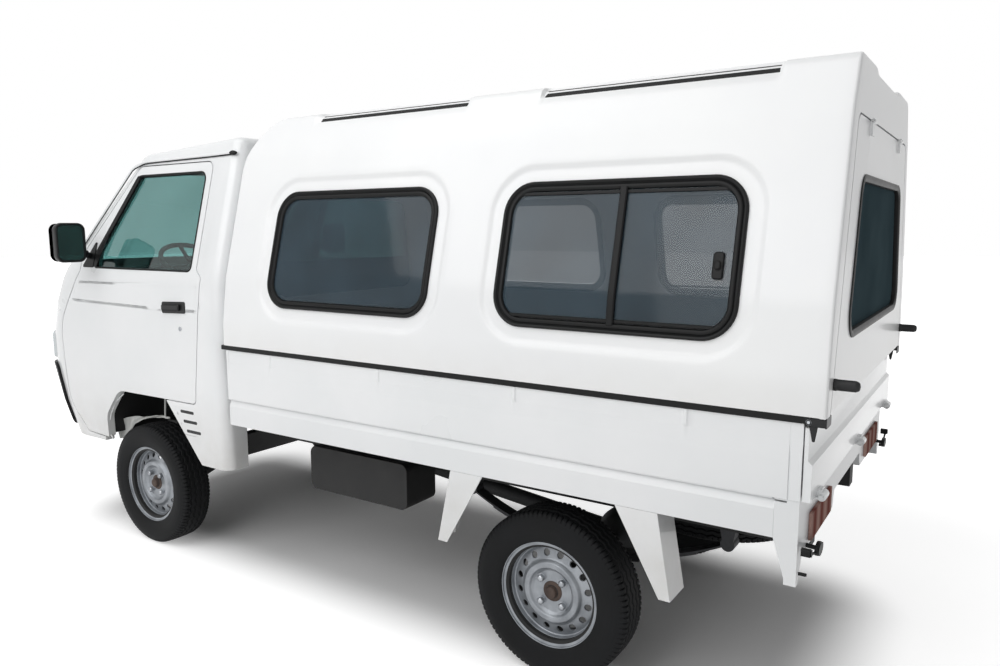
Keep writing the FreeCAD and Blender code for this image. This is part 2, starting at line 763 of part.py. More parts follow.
def slider_post(grow):
    """Upright between the two halves of the rear window."""
    y = canopy_y(slider_post_share)
    half = slider_post_width / 2 + grow
    return box(-side_far, side_far, y - half, y + half, canopy_z(0), canopy_top)


def canopy_frames():
    """Rubber frames that clamp each side window, the slider's with its middle post."""
    skin = canopy_solid(-seam).cut(canopy_solid(canopy_wall - seat_gap, overrun))
    shapes = []
    for span in window_spans:
        opening = side_window(span, seat_gap)
        shapes.append(skin.common(opening.cut(side_window(span, frame_band - seat_gap))))
    post = skin.common(side_window(rear_window_span_shares, frame_band / 2)).common(slider_post(0.0))
    shapes[1] = shapes[1].fuse(post)
    return Part.makeCompound([s.removeSplitter() for s in shapes])


def canopy_seal():
    """Rubber strip between the canopy's foot and the gates."""
    ring = canopy_solid(0.0, seal_height).cut(canopy_solid(canopy_wall, overrun))
    region = box(-side_far, side_far, canopy_front - overrun, canopy_rear - canopy_wall * 1.5,
                 canopy_base - seal_height, canopy_base - seat_gap)
    return ring.common(region)


def roof_strips():
    """Dark drip strips that lie in the let-in places of the shoulders."""
    skin = canopy_solid(strip_recess - strip_sheet - seat_gap).cut(canopy_solid(strip_recess - seat_gap, overrun))
    strips = [skin.common(strip_region(span, seam)) for span in strip_spans_shares]
    return Part.makeCompound(strips + [mirrored(s) for s in strips])


# Hatch and its hinges

hatch_pin_radius = 3.0
hatch_eye_radius = 6.5
hatch_pin_out = 7.0
hatch_hinge_x = half_width * 0.42
leaf_height = 24.0
strap_length = 38.0
handle_radius = 12.0
handle_share = 0.093
handle_x_share = 0.90
handle_boss_share = 0.3


def hinge_leaf(x):
    """Leaf on the back of the roof with two ears and the pin between them."""
    y, z = canopy_rear + hatch_pin_out, canopy_z(hatch_top_share)
    reach = eye_width / 2 + ear_width
    shapes = [box(x - reach, x + reach, canopy_rear - seam, y, z + eye_radius, z + eye_radius + leaf_height),
              rod(hatch_pin_radius, V(x - reach, y, z), V(x + reach, y, z))]
    for x0 in (x - reach, x + reach - ear_width):
        shapes.append(box(x0, x0 + ear_width, y - hatch_pin_radius, y + hatch_pin_radius, z, z + eye_radius * 2))
        shapes.append(rod(hatch_pin_radius, V(x0, y, z), V(x0 + ear_width, y, z)))
    return fused(shapes)


def hatch_eye(x):
    """Eye and strap that hang the hatch on its pin."""
    y, z = canopy_rear + hatch_pin_out, canopy_z(hatch_top_share)
    half = eye_width / 2 - eye_play
    eye = rod(hatch_eye_radius, V(x - half, y, z), V(x + half, y, z))
    strap = box(x - half, x + half, canopy_rear - eye_play, y, z - strap_length, z - hatch_pin_radius)
    bore = rod(hatch_pin_radius + seat_gap, V(x - eye_width, y, z), V(x + eye_width, y, z))
    return fused([eye, strap]).cut(bore)


def canopy_hatch():
    """Rear door of the canopy with its window opening."""
    slab = canopy_solid(0.0, -seam).common(box(-side_far, side_far, canopy_rear - hatch_thickness,
                                              canopy_rear + overrun, 0, canopy_top))
    slab = slab.common(hatch_form(0.0)).cut(hatch_window())
    return fused([slab] + [hatch_eye(side * hatch_hinge_x) for side in (-1, 1)])


def hatch_glass():
    face = canopy_rear - glass_inset
    slab = box(-side_far, side_far, face - glass_thickness, face, 0, canopy_top)
    return slab.common(hatch_window(seat_gap))


def hatch_handles():
    """Lock barrel and turning lever on each side of the hatch."""
    start = V(half_width * handle_x_share, canopy_rear + seat_gap, canopy_z(handle_share))
    reach = length / 2 - start.y
    lever = rod(handle_radius, start, start + V(0, reach, 0))
    boss = rod(handle_radius * 1.5, start, start + V(0, reach * handle_boss_share, 0))
    return both_sides(fused([lever, boss]))


# Chassis

rail_front_share = 0.20
kick_share = 0.14
kick_shift = 20.0
front_tube_setback = 60.0
rear_tube_setback = 60.0
bed_tube_setback = 150.0
axle_tube_ahead = 420.0
axle_tube_behind = 330.0
rail_rear_middle_z = rail_rear_z + rail_height / 2


def chassis_frame():
    """Two rails that step up behind the cab, tied by cross tubes."""
    front = cab_front + cab_length * rail_front_share
    kick_start = cab_rear - bed_length * kick_share
    kick_end = bed_front
    back = bed_rear - seam
    rail = prism_x([
        (front, rail_front_z, 0.0), (kick_start, rail_front_z, 0.0), (kick_end, rail_rear_z, 0.0),
        (back, rail_rear_z, 0.0), (back, rail_rear_z + rail_height, 0.0),
        (kick_end - kick_shift, rail_rear_z + rail_height, 0.0),
        (kick_start - kick_shift, rail_front_z + rail_height, 0.0), (front, rail_front_z + rail_height, 0.0),
    ], rail_in_x, rail_out_x)
    shapes = [rail, mirrored(rail)]
    places = [(front + front_tube_setback, rail_front_z + rail_height / 2)]
    for y in (bed_front + bed_tube_setback, rear_axle_y - axle_tube_ahead, rear_axle_y + axle_tube_behind,
              back - rear_tube_setback):
        places.append((y, rail_rear_middle_z))
    for y, z in places:
        shapes.append(rod(cross_tube_radius, V(-rail_centre_x, y, z), V(rail_centre_x, y, z)))
    return fused(shapes)


drive_shaft_radius = 30.0
drive_shaft_setback = 120.0
axle_tube_radius = 36.0
differential_radius = 105.0
# Outline of the differential as shares of its radius: half widths, and radii
differential_shares = [(1.1, 0.0), (0.7, 0.8), (0.3, 1.0)]
spring_width = 50.0
spring_half_length = 480.0
leaf_thickness = 7.0
leaf_count = 4
leaf_step_share = 0.2
spring_rise = 120.0
spring_eye_radius = 22.0
hanger_half_share = 1.1
clamp_wall = 6.0
clamp_half = 45.0


def rear_axle():
    """Live axle: tube, differential, stubs and the drive shaft running forward."""
    centre = V(0, rear_axle_y, axle_z)
    inner_end = rear_track / 2 - rim_width / 2
    stub_end = rear_track / 2 + stub_reach
    right = [(stub_end, 0.0), (stub_end, stub_radius), (inner_end, stub_radius), (inner_end, axle_tube_radius)]
    for s, t in differential_shares:
        right.append((s * differential_radius, max(t * differential_radius, axle_tube_radius)))
    left = [(-a, r) for a, r in reversed(right)]
    front_end = V(0, cab_rear - drive_shaft_setback, rail_front_z + drive_shaft_radius * 2)
    shaft = rod(drive_shaft_radius, V(0, rear_axle_y - differential_radius / 2, axle_z), front_end)
    return fused([ring_of(right + left, centre, 1), shaft])


def leaf(half, z_mid, rise):
    """One bowed leaf with square ends."""
    x0 = rail_centre_x - spring_width / 2

    def bow(z):
        ends = [V(x0, rear_axle_y + side * half, z + rise) for side in (-1, 1)]
        return Part.Arc(ends[0], V(x0, rear_axle_y, z), ends[1])

    under, over = bow(z_mid).toShape(), bow(z_mid + leaf_thickness).toShape()
    ends = [Part.makeLine(under.Vertexes[i].Point, over.Vertexes[i].Point) for i in (0, -1)]
    wire = Part.Wire(Part.__sortEdges__([under, over] + ends))
    return Part.Face(wire).extrude(V(spring_width, 0, 0))


def leaf_springs():
    """Leaf packs, each leaf shorter than the one above, with rolled eyes, hangers and the axle clamp."""
    shapes = []
    low = axle_z + axle_tube_radius + seat_gap
    for i in range(leaf_count):
        share = 1 - leaf_step_share * (leaf_count - 1 - i)
        shapes.append(leaf(spring_half_length * share, low + i * leaf_thickness, spring_rise * share ** 2))
    x0, x1 = rail_centre_x - spring_width / 2, rail_centre_x + spring_width / 2
    z = low + leaf_count * leaf_thickness - leaf_thickness / 2 + spring_rise
    wide, narrow = spring_eye_radius * hanger_half_share, spring_eye_radius / hanger_half_share / 1.4
    for end in (-1, 1):
        y = rear_axle_y + end * spring_half_length
        shapes.append(rod(spring_eye_radius, V(x0, y, z), V(x1, y, z)))
        shapes.append(prism_x([(y - wide, rail_rear_z - seat_gap, 0.0), (y + wide, rail_rear_z - seat_gap, 0.0),
                               (y + narrow, z, 0.0), (y - narrow, z, 0.0)], x0, x1))
    shapes.append(box(x0 - clamp_wall, x1 + clamp_wall, rear_axle_y - clamp_half, rear_axle_y + clamp_half,
                      low + seat_gap, low + leaf_count * leaf_thickness + clamp_wall * 2))
    return both_sides(fused(shapes))


strut_top_x = 470.0
strut_foot_x = 494.0
strut_foot_rise = 60.0
strut_radius = 22.0
ball_x = 556.0
ball_z = 200.0
beam_half = 60.0
beam_depth = 80.0
arm_thickness = 16.0
arm_half_width = 22.0
upright_half = 34.0
upright_high = 110.0
upright_low = 20.0
upright_shoulder = 40.0
upright_in = 26.0
upright_out = 22.0
stud_length = 26.0
stud_half = 18.0
# Radii of the studs at the strut's top and at the ball, as shares of the strut's radius
top_stud_share, ball_stud_share = 0.8, 0.7


def front_suspension():
    """Cross member, a lower arm to each ball joint and the cups that hold the struts."""
    beam_low = rail_front_z - beam_depth
    beam = box(-rail_out_x, rail_out_x, front_axle_y - beam_half, front_axle_y + beam_half, beam_low,
               rail_front_z - seat_gap)
    pad_z = ball_z - seat_gap
    arm = prism_y([(ball_x + arm_half_width, pad_z - arm_thickness, 0.0), (ball_x + arm_half_width, pad_z, 0.0),
                   (ball_x - arm_half_width, pad_z, 0.0), (rail_in_x, beam_low + seat_gap, 0.0),
                   (rail_in_x, beam_low - arm_thickness * 2, 0.0)],
                  front_axle_y - arm_half_width, front_axle_y + arm_half_width)
    strut_top_z = seat_deck_z - strut_radius
    cup = rod(strut_radius * 2, V(strut_top_x, front_axle_y, strut_top_z + seat_gap),
              V(strut_top_x, front_axle_y, seat_deck_z - seat_gap))
    return Part.makeCompound([fused([beam, arm, mirrored(arm)]), cup, mirrored(cup)])


def knuckle():
    """Strut tube, upright and the stub that carries the wheel, with a pointed stud at each end."""
    y = front_axle_y
    strut_top = V(strut_top_x, y, seat_deck_z - strut_radius)
    strut = rod(strut_radius, strut_top - V(0, 0, stud_length / 2), V(strut_foot_x, y, axle_z + strut_foot_rise))
    cap = Part.makeCone(strut_radius * top_stud_share, 0, stud_length, strut_top - V(0, 0, stud_length), V(0, 0, 1))
    ball = V(ball_x, y, ball_z)
    stud_base = ball + V(0, 0, stud_length)
    stud = Part.makeCone(strut_radius * ball_stud_share, 0, stud_length, stud_base, V(0, 0, -1))
    foot_z = ball_z + stud_length * ball_stud_share
    inside, outside = strut_foot_x - upright_in, ball_x + stud_half
    outline = [(inside, axle_z + upright_high, 0.0), (inside, axle_z + upright_low, 0.0),
               (ball_x - stud_half, foot_z, 0.0), (outside, foot_z, 0.0), (outside, axle_z + upright_shoulder, 0.0),
               (strut_foot_x + upright_out, axle_z + upright_high, 0.0)]
    post = prism_y(outline, y - upright_half, y + upright_half)
    stub = rod(stub_radius, V(strut_foot_x, y, axle_z), V(front_track / 2 + stub_reach, y, axle_z))
    return fused([strut, cap, stud, post, stub])


# Wheels

shoulder_width = 10.0
shoulder_drop = 12.0
lip_width = 7.0
# The disc: offsets of its faces from the wheel's middle, radii of its raised ring, and its vents
disc_offset = 20.0
ring_rise = 16.0
ring_in_radius = 78.0
ring_out_radius = 104.0
vent_count = 16
vent_radius = 11.5
vent_circle_radius = 125.0
vent_sides = 8
hub_radius = 34.0
hub_out = 12.0
hub_in = 20.0


def tyre(centre, side):
    """Closed ring that grips the rim's lips, with flat walls and sloped shoulders."""
    half = tyre_width / 2
    inside = rim_flange_diameter / 2 + seat_gap
    points = [(-half, inside), (half, inside), (half, tyre_radius - shoulder_drop),
              (half - shoulder_width, tyre_radius), (shoulder_width - half, tyre_radius),
              (-half, tyre_radius - shoulder_drop)]
    return ring_of(points, centre, side)


def rim(centre, side):
    """Pressed disc with a raised ring, eight-sided vents and a closed hub, in a barrel with lips."""
    half = rim_width / 2
    shelf = rim_seat_diameter / 2
    flange = rim_flange_diameter / 2
    barrel = [(-half, flange), (lip_width - half, flange), (lip_width - half, shelf), (half - lip_width, shelf),
              (half - lip_width, flange), (half, flange), (half, shelf - rim_sheet), (-half, shelf - rim_sheet)]
    front, back = disc_offset, disc_offset - rim_sheet
    edge = shelf - rim_sheet / 2
    disc = [(front, 0.0), (front, ring_in_radius), (front + ring_rise, ring_in_radius),
            (front + ring_rise, ring_out_radius), (front, ring_out_radius), (front, edge), (back, edge), (back, 0.0)]
    axis = V(side, 0, 0)
    hub = rod(hub_radius, centre - axis * hub_in, centre + axis * (stub_reach + hub_out))
    bore = rod(hub_bore_radius, centre - axis * rim_width, centre + axis * (stub_reach + seat_gap))
    body = fused([ring_of(barrel, centre, side), ring_of(disc, centre, side), hub]).cut(bore)
    vents = []
    turns = [2 * math.pi * i / vent_sides for i in range(vent_sides)]
    vent_corners = [(vent_radius * math.cos(a), vent_radius * math.sin(a)) for a in turns]
    for i in range(vent_count):
        turn = 2 * math.pi * i / vent_count
        place = centre + V(0, math.cos(turn), math.sin(turn)) * vent_circle_radius
        vent = Part.Face(Part.makePolygon([place + V(0, y, z) for y, z in vent_corners + vent_corners[:1]]))
        vents.append(vent.extrude(axis * rim_width))
    return body.cut(Part.makeCompound(vents))


# Heavy and hidden masses

engine_half_width = 230.0
engine_length = 420.0
engine_setback = 200.0
tank_setback = 260.0
tank_length = 500.0
tank_width = 170.0
tank_low_z = 385.0
tank_high_z = 560.0
tank_corner = 30.0
exhaust_x = -150.0
exhaust_z = 430.0
silencer_radius = 70.0
silencer_setback = 300.0
silencer_length = 460.0
pipe_radius = 20.0
pipe_ahead = 150.0
pipe_short = 180.0
exhaust_hanger = 24.0
hanger_sheet = 8.0
spare_thickness = 105.0
spare_behind_tube = 25.0


def engine_block():
    back = cab_rear - engine_setback
    return box(-engine_half_width, engine_half_width, back - engine_length, back,
               rail_front_z + rail_height + seat_gap, seat_deck_z - seat_gap)


def fuel_tank():
    """Tank strapped to the outside of the left rail."""
    near = bed_front + tank_setback
    far = near + tank_length
    points = [(near, tank_low_z, tank_corner), (far, tank_low_z, tank_corner), (far, tank_high_z, tank_corner),
              (near, tank_high_z, tank_corner)]
    return prism_x(points, rail_out_x + seat_gap, rail_out_x + tank_width)


def exhaust():
    """Pipe and silencer hung from the cross tubes."""
    near = bed_front + silencer_setback
    x = exhaust_x
    silencer = rod(silencer_radius, V(x, near, exhaust_z), V(x, near + silencer_length, exhaust_z))
    pipe = rod(pipe_radius, V(x, cab_rear - pipe_ahead, exhaust_z), V(x, rear_axle_y - pipe_short, exhaust_z))
    shapes = [silencer, pipe]
    top = rail_rear_middle_z - cross_tube_radius - seat_gap
    for y in (bed_front + bed_tube_setback, rear_axle_y - axle_tube_ahead):
        shapes.append(box(x - exhaust_hanger / 2, x + exhaust_hanger / 2, y - hanger_sheet / 2,
                          y + hanger_sheet / 2, exhaust_z, top))
    return fused(shapes)


def spare_wheel():
    """Spare that lies flat under the rear cross tubes."""
    low = rail_rear_middle_z - cross_tube_radius - seat_gap - spare_thickness
    start = V(0, rear_axle_y + axle_tube_behind + spare_behind_tube, low)
    return rod(tyre_radius, start, start + V(0, 0, spare_thickness))


mirror_width = 160.0
mirror_height = 175.0
mirror_depth = 62.0
mirror_corner = 32.0
mirror_out = 14.0
mirror_over_belt = 122.0
mirror_place_share = 0.353
arm_place_share = 0.327
arm_radius = 11.0
arm_root_share = 0.935
arm_low, arm_high = 44.0, 60.0


def door_mirror():
    """Housing on an arm that stands on the sail at the window's front corner."""
    y = cab_front + cab_length * mirror_place_share
    z = belt_z + mirror_over_belt
    x0 = half_width + mirror_out
    x1 = x0 + mirror_width
    low, high = z - mirror_height / 2, z + mirror_height / 2
    house = prism_y([(x0, low, mirror_corner), (x1, low, mirror_corner), (x1, high, mirror_corner),
                     (x0, high, mirror_corner)], y, y + mirror_depth)
    root = V(half_width * arm_root_share, cab_front + cab_length * arm_place_share, belt_z + arm_low)
    arm = rod(arm_radius, root, V(x0 + mirror_corner, y + mirror_depth / 2, belt_z + arm_high))
    return fused([house, arm]).cut(cab_solid(-seat_gap))


os.makedirs("parts", exist_ok=True)

save("cab_shell", cab_shell())
save("front_panel", front_panel())
save("cab_floor", cab_floor())
save("cab_glass", cab_glass())
save("dashboard", dashboard())
save("seats", seats())
save("front_bumper", front_bumper())
save("headlamps", headlamps())
save("bed_floor", bed_floor())
save("side_gates", both_sides(side_gate()))
save("headboard", headboard())
save("rear_apron", rear_apron())
save("tail_lamps", tail_lamps())
save("wheel_guards", wheel_guards())
save("canopy_shell", canopy_shell())
save("canopy_glass", canopy_glass())
save("canopy_frames", canopy_frames())
save("canopy_seal", canopy_seal())
save("roof_strips", roof_strips())
save("chassis_frame", chassis_frame())
save("rear_axle", rear_axle())
save("leaf_springs", leaf_springs())
save("front_suspension", front_suspension())
save("engine_block", engine_block())
save("fuel_tank", fuel_tank())
save("exhaust", exhaust())
save("spare_wheel", spare_wheel())
left_pieces = {"door_left": door(), "door_left_glass": door_glass(), "door_left_mirror": door_mirror(),
               "knuckle_left": knuckle()}
for name, shape in left_pieces.items():
    save(name, shape)
    save(name.replace("left", "right"), mirrored(shape))
save("tailgate", tailgate())
save("canopy_hatch", canopy_hatch())
save("hatch_glass", hatch_glass())
save("hatch_handles", hatch_handles())
save("steering_wheel", steering_wheel())
for end, track, y in (("front", front_track, front_axle_y), ("rear", rear_track, rear_axle_y)):
    for hand, side in (("left", 1), ("right", -1)):
        centre = V(side * track / 2, y, axle_z)
        save("tyre_" + end + "_" + hand, tyre(centre, side))
        save("rim_" + end + "_" + hand, rim(centre, side))
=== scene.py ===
"""Looks of a small cab-over pickup with a moulded canopy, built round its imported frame.

Metres. +X is the vehicle's left, -Y its front, +Z up.
"""
import json
import math
import bpy
import bmesh
import numpy as np
from mathutils import Matrix, Vector


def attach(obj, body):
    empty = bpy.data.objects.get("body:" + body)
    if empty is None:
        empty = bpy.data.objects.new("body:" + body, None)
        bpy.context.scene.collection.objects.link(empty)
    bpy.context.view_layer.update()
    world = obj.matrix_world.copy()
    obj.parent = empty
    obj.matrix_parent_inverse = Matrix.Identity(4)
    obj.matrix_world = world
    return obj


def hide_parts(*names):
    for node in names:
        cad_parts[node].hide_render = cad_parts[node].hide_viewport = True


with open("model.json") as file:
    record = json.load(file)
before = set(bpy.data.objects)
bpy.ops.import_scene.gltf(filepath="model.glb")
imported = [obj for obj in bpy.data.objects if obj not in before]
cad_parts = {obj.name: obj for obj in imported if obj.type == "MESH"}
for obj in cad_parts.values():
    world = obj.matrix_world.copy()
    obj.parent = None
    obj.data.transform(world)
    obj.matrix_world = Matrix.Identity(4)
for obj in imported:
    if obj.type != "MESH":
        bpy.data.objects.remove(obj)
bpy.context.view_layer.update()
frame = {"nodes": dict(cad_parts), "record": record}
MM = 0.001

# The photograph's frame and the camera that took it
IMAGE_WIDTH = 1000
FOCAL_PIXELS = 775.86
SENSOR_WIDTH = 36
CAMERA_PLACE = Vector((2.6237, 2.1327, 1.4173))
CAMERA_YAW, CAMERA_PITCH, CAMERA_ROLL = (math.radians(a) for a in (-123.343, -7.679, -0.195))


def place_camera():
    """Camera with the solved place, turn and focal length."""
    forward = Vector((math.sin(CAMERA_YAW) * math.cos(CAMERA_PITCH),
                      math.cos(CAMERA_YAW) * math.cos(CAMERA_PITCH), math.sin(CAMERA_PITCH)))
    right = forward.cross(Vector((0, 0, 1))).normalized()
    up = right.cross(forward)
    turned_right = right * math.cos(CAMERA_ROLL) + up * math.sin(CAMERA_ROLL)
    turned_up = up * math.cos(CAMERA_ROLL) - right * math.sin(CAMERA_ROLL)
    data = bpy.data.cameras.new("camera")
    data.sensor_width = SENSOR_WIDTH
    data.lens = FOCAL_PIXELS / IMAGE_WIDTH * SENSOR_WIDTH
    camera = linked("camera", data)
    axes = Matrix((turned_right, turned_up, -forward)).transposed()
    camera.matrix_world = Matrix.Translation(CAMERA_PLACE) @ axes.to_4x4()
    bpy.context.scene.camera = camera


# Materials


def linear(hex_colour):
    """Turns an sRGB hex colour into the linear values that a shader takes."""
    shares = [int(hex_colour[i:i + 2], 16) / 255 for i in (1, 3, 5)]
    return [s / 12.92 if s <= 0.04045 else ((s + 0.055) / 1.055) ** 2.4 for s in shares] + [1]


def add_node(tree, kind, inputs=None, **settings):
    """Adds one node; inputs gives each socket a value or the socket that feeds it."""
    made = tree.nodes.new(kind)
    for name, value in settings.items():
        setattr(made, name, value)
    for key, value in (inputs or {}).items():
        if isinstance(value, bpy.types.NodeSocket):
            tree.links.new(value, made.inputs[key])
        else:
            made.inputs[key].default_value = value
    return made


def new_material(name):
    material = bpy.data.materials.new(name)
    material.use_nodes = True
    material.node_tree.nodes.clear()
    return material, material.node_tree


def finished(material, inputs):
    """Gives a material its principled shader with the given inputs."""
    shader = add_node(material.node_tree, "ShaderNodeBsdfPrincipled", inputs)
    add_node(material.node_tree, "ShaderNodeOutputMaterial", {"Surface": shader.outputs[0]})
    return material


def object_place(tree):
    return add_node(tree, "ShaderNodeTexCoord").outputs["Object"]


def upward(tree, vector):
    return add_node(tree, "ShaderNodeSeparateXYZ", {0: vector}).outputs["Z"]


def mapped(tree, value, low, high, start=0, end=1, kind="LINEAR"):
    """Carries the range from start to end onto the one from low to high."""
    ranges = {"Value": value, "From Min": start, "From Max": end, "To Min": low, "To Max": high}
    return add_node(tree, "ShaderNodeMapRange", ranges, interpolation_type=kind).outputs["Result"]


def computed(tree, operation, first, second):
    return add_node(tree, "ShaderNodeMath", {0: first, 1: second}, operation=operation).outputs[0]


def mixed(tree, share, first, second):
    """Two colours mixed by a share."""
    return add_node(tree, "ShaderNodeMix", {"Factor": share, MIX_FIRST: first, MIX_SECOND: second},
                    data_type="RGBA").outputs[MIX_COLOUR]


def noise(tree, size_mm, detail=4):
    """Noise of a real grain size."""
    inputs = {"Vector": object_place(tree), "Scale": 1 / (size_mm * MM), "Detail": detail}
    return add_node(tree, "ShaderNodeTexNoise", inputs).outputs["Fac"]


def waves(tree, width_mm, axis="X", distortion=0):
    """Soft bands of a real width across an axis."""
    scale = 1 / (width_mm * MM * WAVE_TURN)
    inputs = {"Vector": object_place(tree), "Scale": scale, "Distortion": distortion}
    return add_node(tree, "ShaderNodeTexWave", inputs, bands_direction=axis).outputs["Fac"]


def mottled(tree, dark, light, size_mm, detail=4):
    """Noise of a real grain size, and the colour that it carries from dark to light."""
    grain = noise(tree, size_mm, detail)
    ramp = add_node(tree, "ShaderNodeValToRGB", {"Fac": grain})
    for stop, place, colour in zip(ramp.color_ramp.elements, MOTTLE_STOPS, (dark, light)):
        stop.position = place
        stop.color = linear(colour)
    return grain, ramp.outputs["Color"]


def bumped(tree, height, distance_mm):
    return add_node(tree, "ShaderNodeBump", {"Height": height, "Strength": 1,
                                             "Distance": distance_mm * MM}).outputs["Normal"]


def grimed(tree, colour, dirt, low_mm, high_mm, most):
    """Mixes road dirt in where noise allows it, from most at the low height to none at the high one."""
    near = mapped(tree, upward(tree, object_place(tree)), most, 0, low_mm * MM, high_mm * MM)
    return mixed(tree, computed(tree, "MULTIPLY", near, noise(tree, 90, 6)), colour, linear(dirt))


# Sockets of the colour mix
MIX_FIRST, MIX_SECOND, MIX_COLOUR = 6, 7, 2
# One band of the wave texture, in units of its scale
WAVE_TURN = 6.3
# Noise values at which a mottled colour starts and ends
MOTTLE_STOPS = (0.35, 0.65)
# Darker and lighter tone, and the size of the patches in mm
ENAMEL_WHITE = ("#e9ebec", "#eff0f1", 400)


def surface(name, dark, light, patch_mm, roughness, inputs, detail=4, bump=None, dirt=None):
    """Material whose colour runs from dark to light in patches. Its roughness is one value, or a pair that
    runs with the patches; bump is the size, detail and depth of a noise, and dirt is what grimed takes."""
    material, tree = new_material(name)
    tone, colour = mottled(tree, dark, light, patch_mm, detail)
    inputs["Base Color"] = grimed(tree, colour, *dirt) if dirt else colour
    inputs["Roughness"] = mapped(tree, tone, *roughness) if isinstance(roughness, tuple) else roughness
    if bump:
        inputs["Normal"] = bumped(tree, noise(tree, *bump[:2]), bump[2])
    return finished(material, inputs)


def painted_shade_below():
    """White enamel with painted shade: near black on the faces that look down."""
    material, tree = new_material("enamel_with_painted_shade_below")
    tone, colour = mottled(tree, *ENAMEL_WHITE)
    facing = add_node(tree, "ShaderNodeTexCoord").outputs["Normal"]
    # Faces that look down go near black: painted shade under the body
    below = mapped(tree, upward(tree, facing), 0, 1, -0.5, -0.7)
    return finished(material, {"Base Color": mixed(tree, below, colour, linear("#0b0b0c")), "IOR": 1.5,
                               "Roughness": mapped(tree, tone, 0.26, 0.36)})


def filmed_pane(name, dark, light, cover, gloss):
    """Glass darkened by a film on its inside: cover is the share of light that the film keeps back."""
    return surface(name, dark, light, 300, 0.06, {"Specular IOR Level": gloss, "Alpha": cover}, 2)


def moulded_plastic(name, dark, light, roughness, grain_mm=1.2, depth_mm=0.04, gloss=0.3):
    """Injection-moulded plastic or rubber: satin, with a fine etched grain."""
    return surface(name, dark, light, grain_mm * 40, (roughness - 0.06, roughness + 0.06),
                   {"Specular IOR Level": gloss}, bump=(grain_mm, 2, depth_mm))


def painted_steel(name, dark, light, roughness, metallic):
    """Painted or bare steel with uneven tone from dust and handling."""
    return surface(name, dark, light, 60, (roughness - 0.08, roughness + 0.08), {"Metallic": metallic},
                   bump=(2.5, 3, 0.05))


def tail_lens():
    """Old acrylic tail lens over a dim reflector: brownish red, with painted highlights as paler streaks along
    its upright flutes.
    """
    material, tree = new_material("brown_red_acrylic")
    flutes = waves(tree, 45, distortion=1.5)
    # The paler flute streaks are painted highlights
    colour = mixed(tree, flutes, linear("#84514a"), linear("#b9988f"))
    return finished(material, {"Base Color": colour, "Roughness": 0.3, "Specular IOR Level": 0,
                               "Normal": bumped(tree, flutes, 0.4)})


def lamp_lens():
    """Moulded clear lamp lens with its fine upright ribs."""
    material, tree = new_material("clear_lamp_lens")
    return finished(material, {"Base Color": linear("#e4eaed"), "Roughness": 0.12, "IOR": 1.49,
                               "Transmission Weight": 0.25, "Normal": bumped(tree, waves(tree, 6), 0.5)})


def woven_cloth():
    """Woven seat cloth: crossed threads about a millimetre apart, drawn at 3 mm so that they show."""
    material, tree = new_material("woven_cloth")
    weave = computed(tree, "MULTIPLY", waves(tree, 3), waves(tree, 3, "Z"))
    return finished(material, {"Base Color": mottled(tree, "#33363b", "#464a50", 30)[1], "Roughness": 0.9,
                               "Sheen Weight": 0.3, "Normal": bumped(tree, weave, 0.3)})


# Sprayed and baked enamel: clear gloss, a very faint orange peel, road film towards the sills
enamel = surface("gloss_enamel", *ENAMEL_WHITE, (0.24, 0.34),
                 {"IOR": 1.5, "Coat Weight": 0.5, "Coat Roughness": 0.06},
                 bump=(6, 1, 0.02), dirt=("#b5b0a6", 450, 760, 0.55))
# White enamel with painted shade on its downward faces, for the bed floor and the apron
enamel_painted_shade_below = painted_shade_below()
# Moulded glass fibre with gelcoat: softer gloss, and long faint waves from the mould
canopy_white = surface("gelcoat", "#f1f2f3", "#f5f6f6", 500, (0.3, 0.42),
                       {"IOR": 1.5, "Coat Weight": 0.3, "Coat Roughness": 0.12},
                       bump=(160, 1, 0.5), dirt=("#d9d6cf", 960, 1080, 0.35))
# Float glass tinted in the melt, its tint a little uneven
teal_glass = surface("green_tinted_glass", "#93b9b7", "#9cc1bf", 400, 0,
                     {"IOR": 1.45, "Transmission Weight": 1.0}, 2)
grey_glass = filmed_pane("grey_filmed_glass", "#2d3f4a", "#3a4f5c", 0.5, 0.4)
hatch_film = filmed_pane("dark_filmed_glass", "#46585f", "#53666d", 0.84, 0)
# A silvered back seen through faintly green glass, its colour darkened: a painted dark reflection
mirror_glass = surface("silvered_mirror_glass", "#5a7572", "#66827f", 120, (0.03, 0.06), {"Metallic": 1.0})
black_plastic = moulded_plastic("black_moulded_plastic", "#0d0e0f", "#141517", 0.42)
dash_plastic = moulded_plastic("grained_dash_plastic", "#292b2d", "#33363a", 0.6)
black_rubber = moulded_plastic("black_weatherstrip_rubber", "#070808", "#0c0d0e", 0.45, gloss=0.2)
tyre_rubber = moulded_plastic("tyre_rubber", "#08090a", "#101113", 0.7, 2.5, 0.12, gloss=0.2)
splash_grey = moulded_plastic("weathered_grey_plastic", "#c3c4c1", "#dadbd8", 0.6, 4, 0.2)
wheel_silver = painted_steel("silver_wheel_enamel", "#7d8186", "#9a9ea3", 0.4, 0.5)
# Near black for the wheel's back and the barrel's inside: brake dust, and painted shade for the dark inside the
# wheel
wheel_dust_and_painted_shade = painted_steel("wheel_enamel_brake_dust_and_painted_shade", "#0b0b0b", "#171717", 0.8, 0)
frame_black = painted_steel("black_chassis_paint", "#060606", "#0d0d0e", 0.7, 0)
cast_iron = painted_steel("cast_iron", "#232425", "#333435", 0.7, 0.3)
spring_steel = painted_steel("spring_steel", "#232426", "#323336", 0.6, 0.4)
exhaust_steel = painted_steel("dull_exhaust_steel", "#4f4b46", "#706b64", 0.6, 0.7)
hub_rust = painted_steel("rusted_hub_steel", "#3a2e29", "#54463e", 0.65, 0.3)
nut_zinc = painted_steel("zinc_plated_steel", "#8d9094", "#a9acb0", 0.35, 0.9)
clear_lens = lamp_lens()
red_lens = tail_lens()
seat_cloth = woven_cloth()

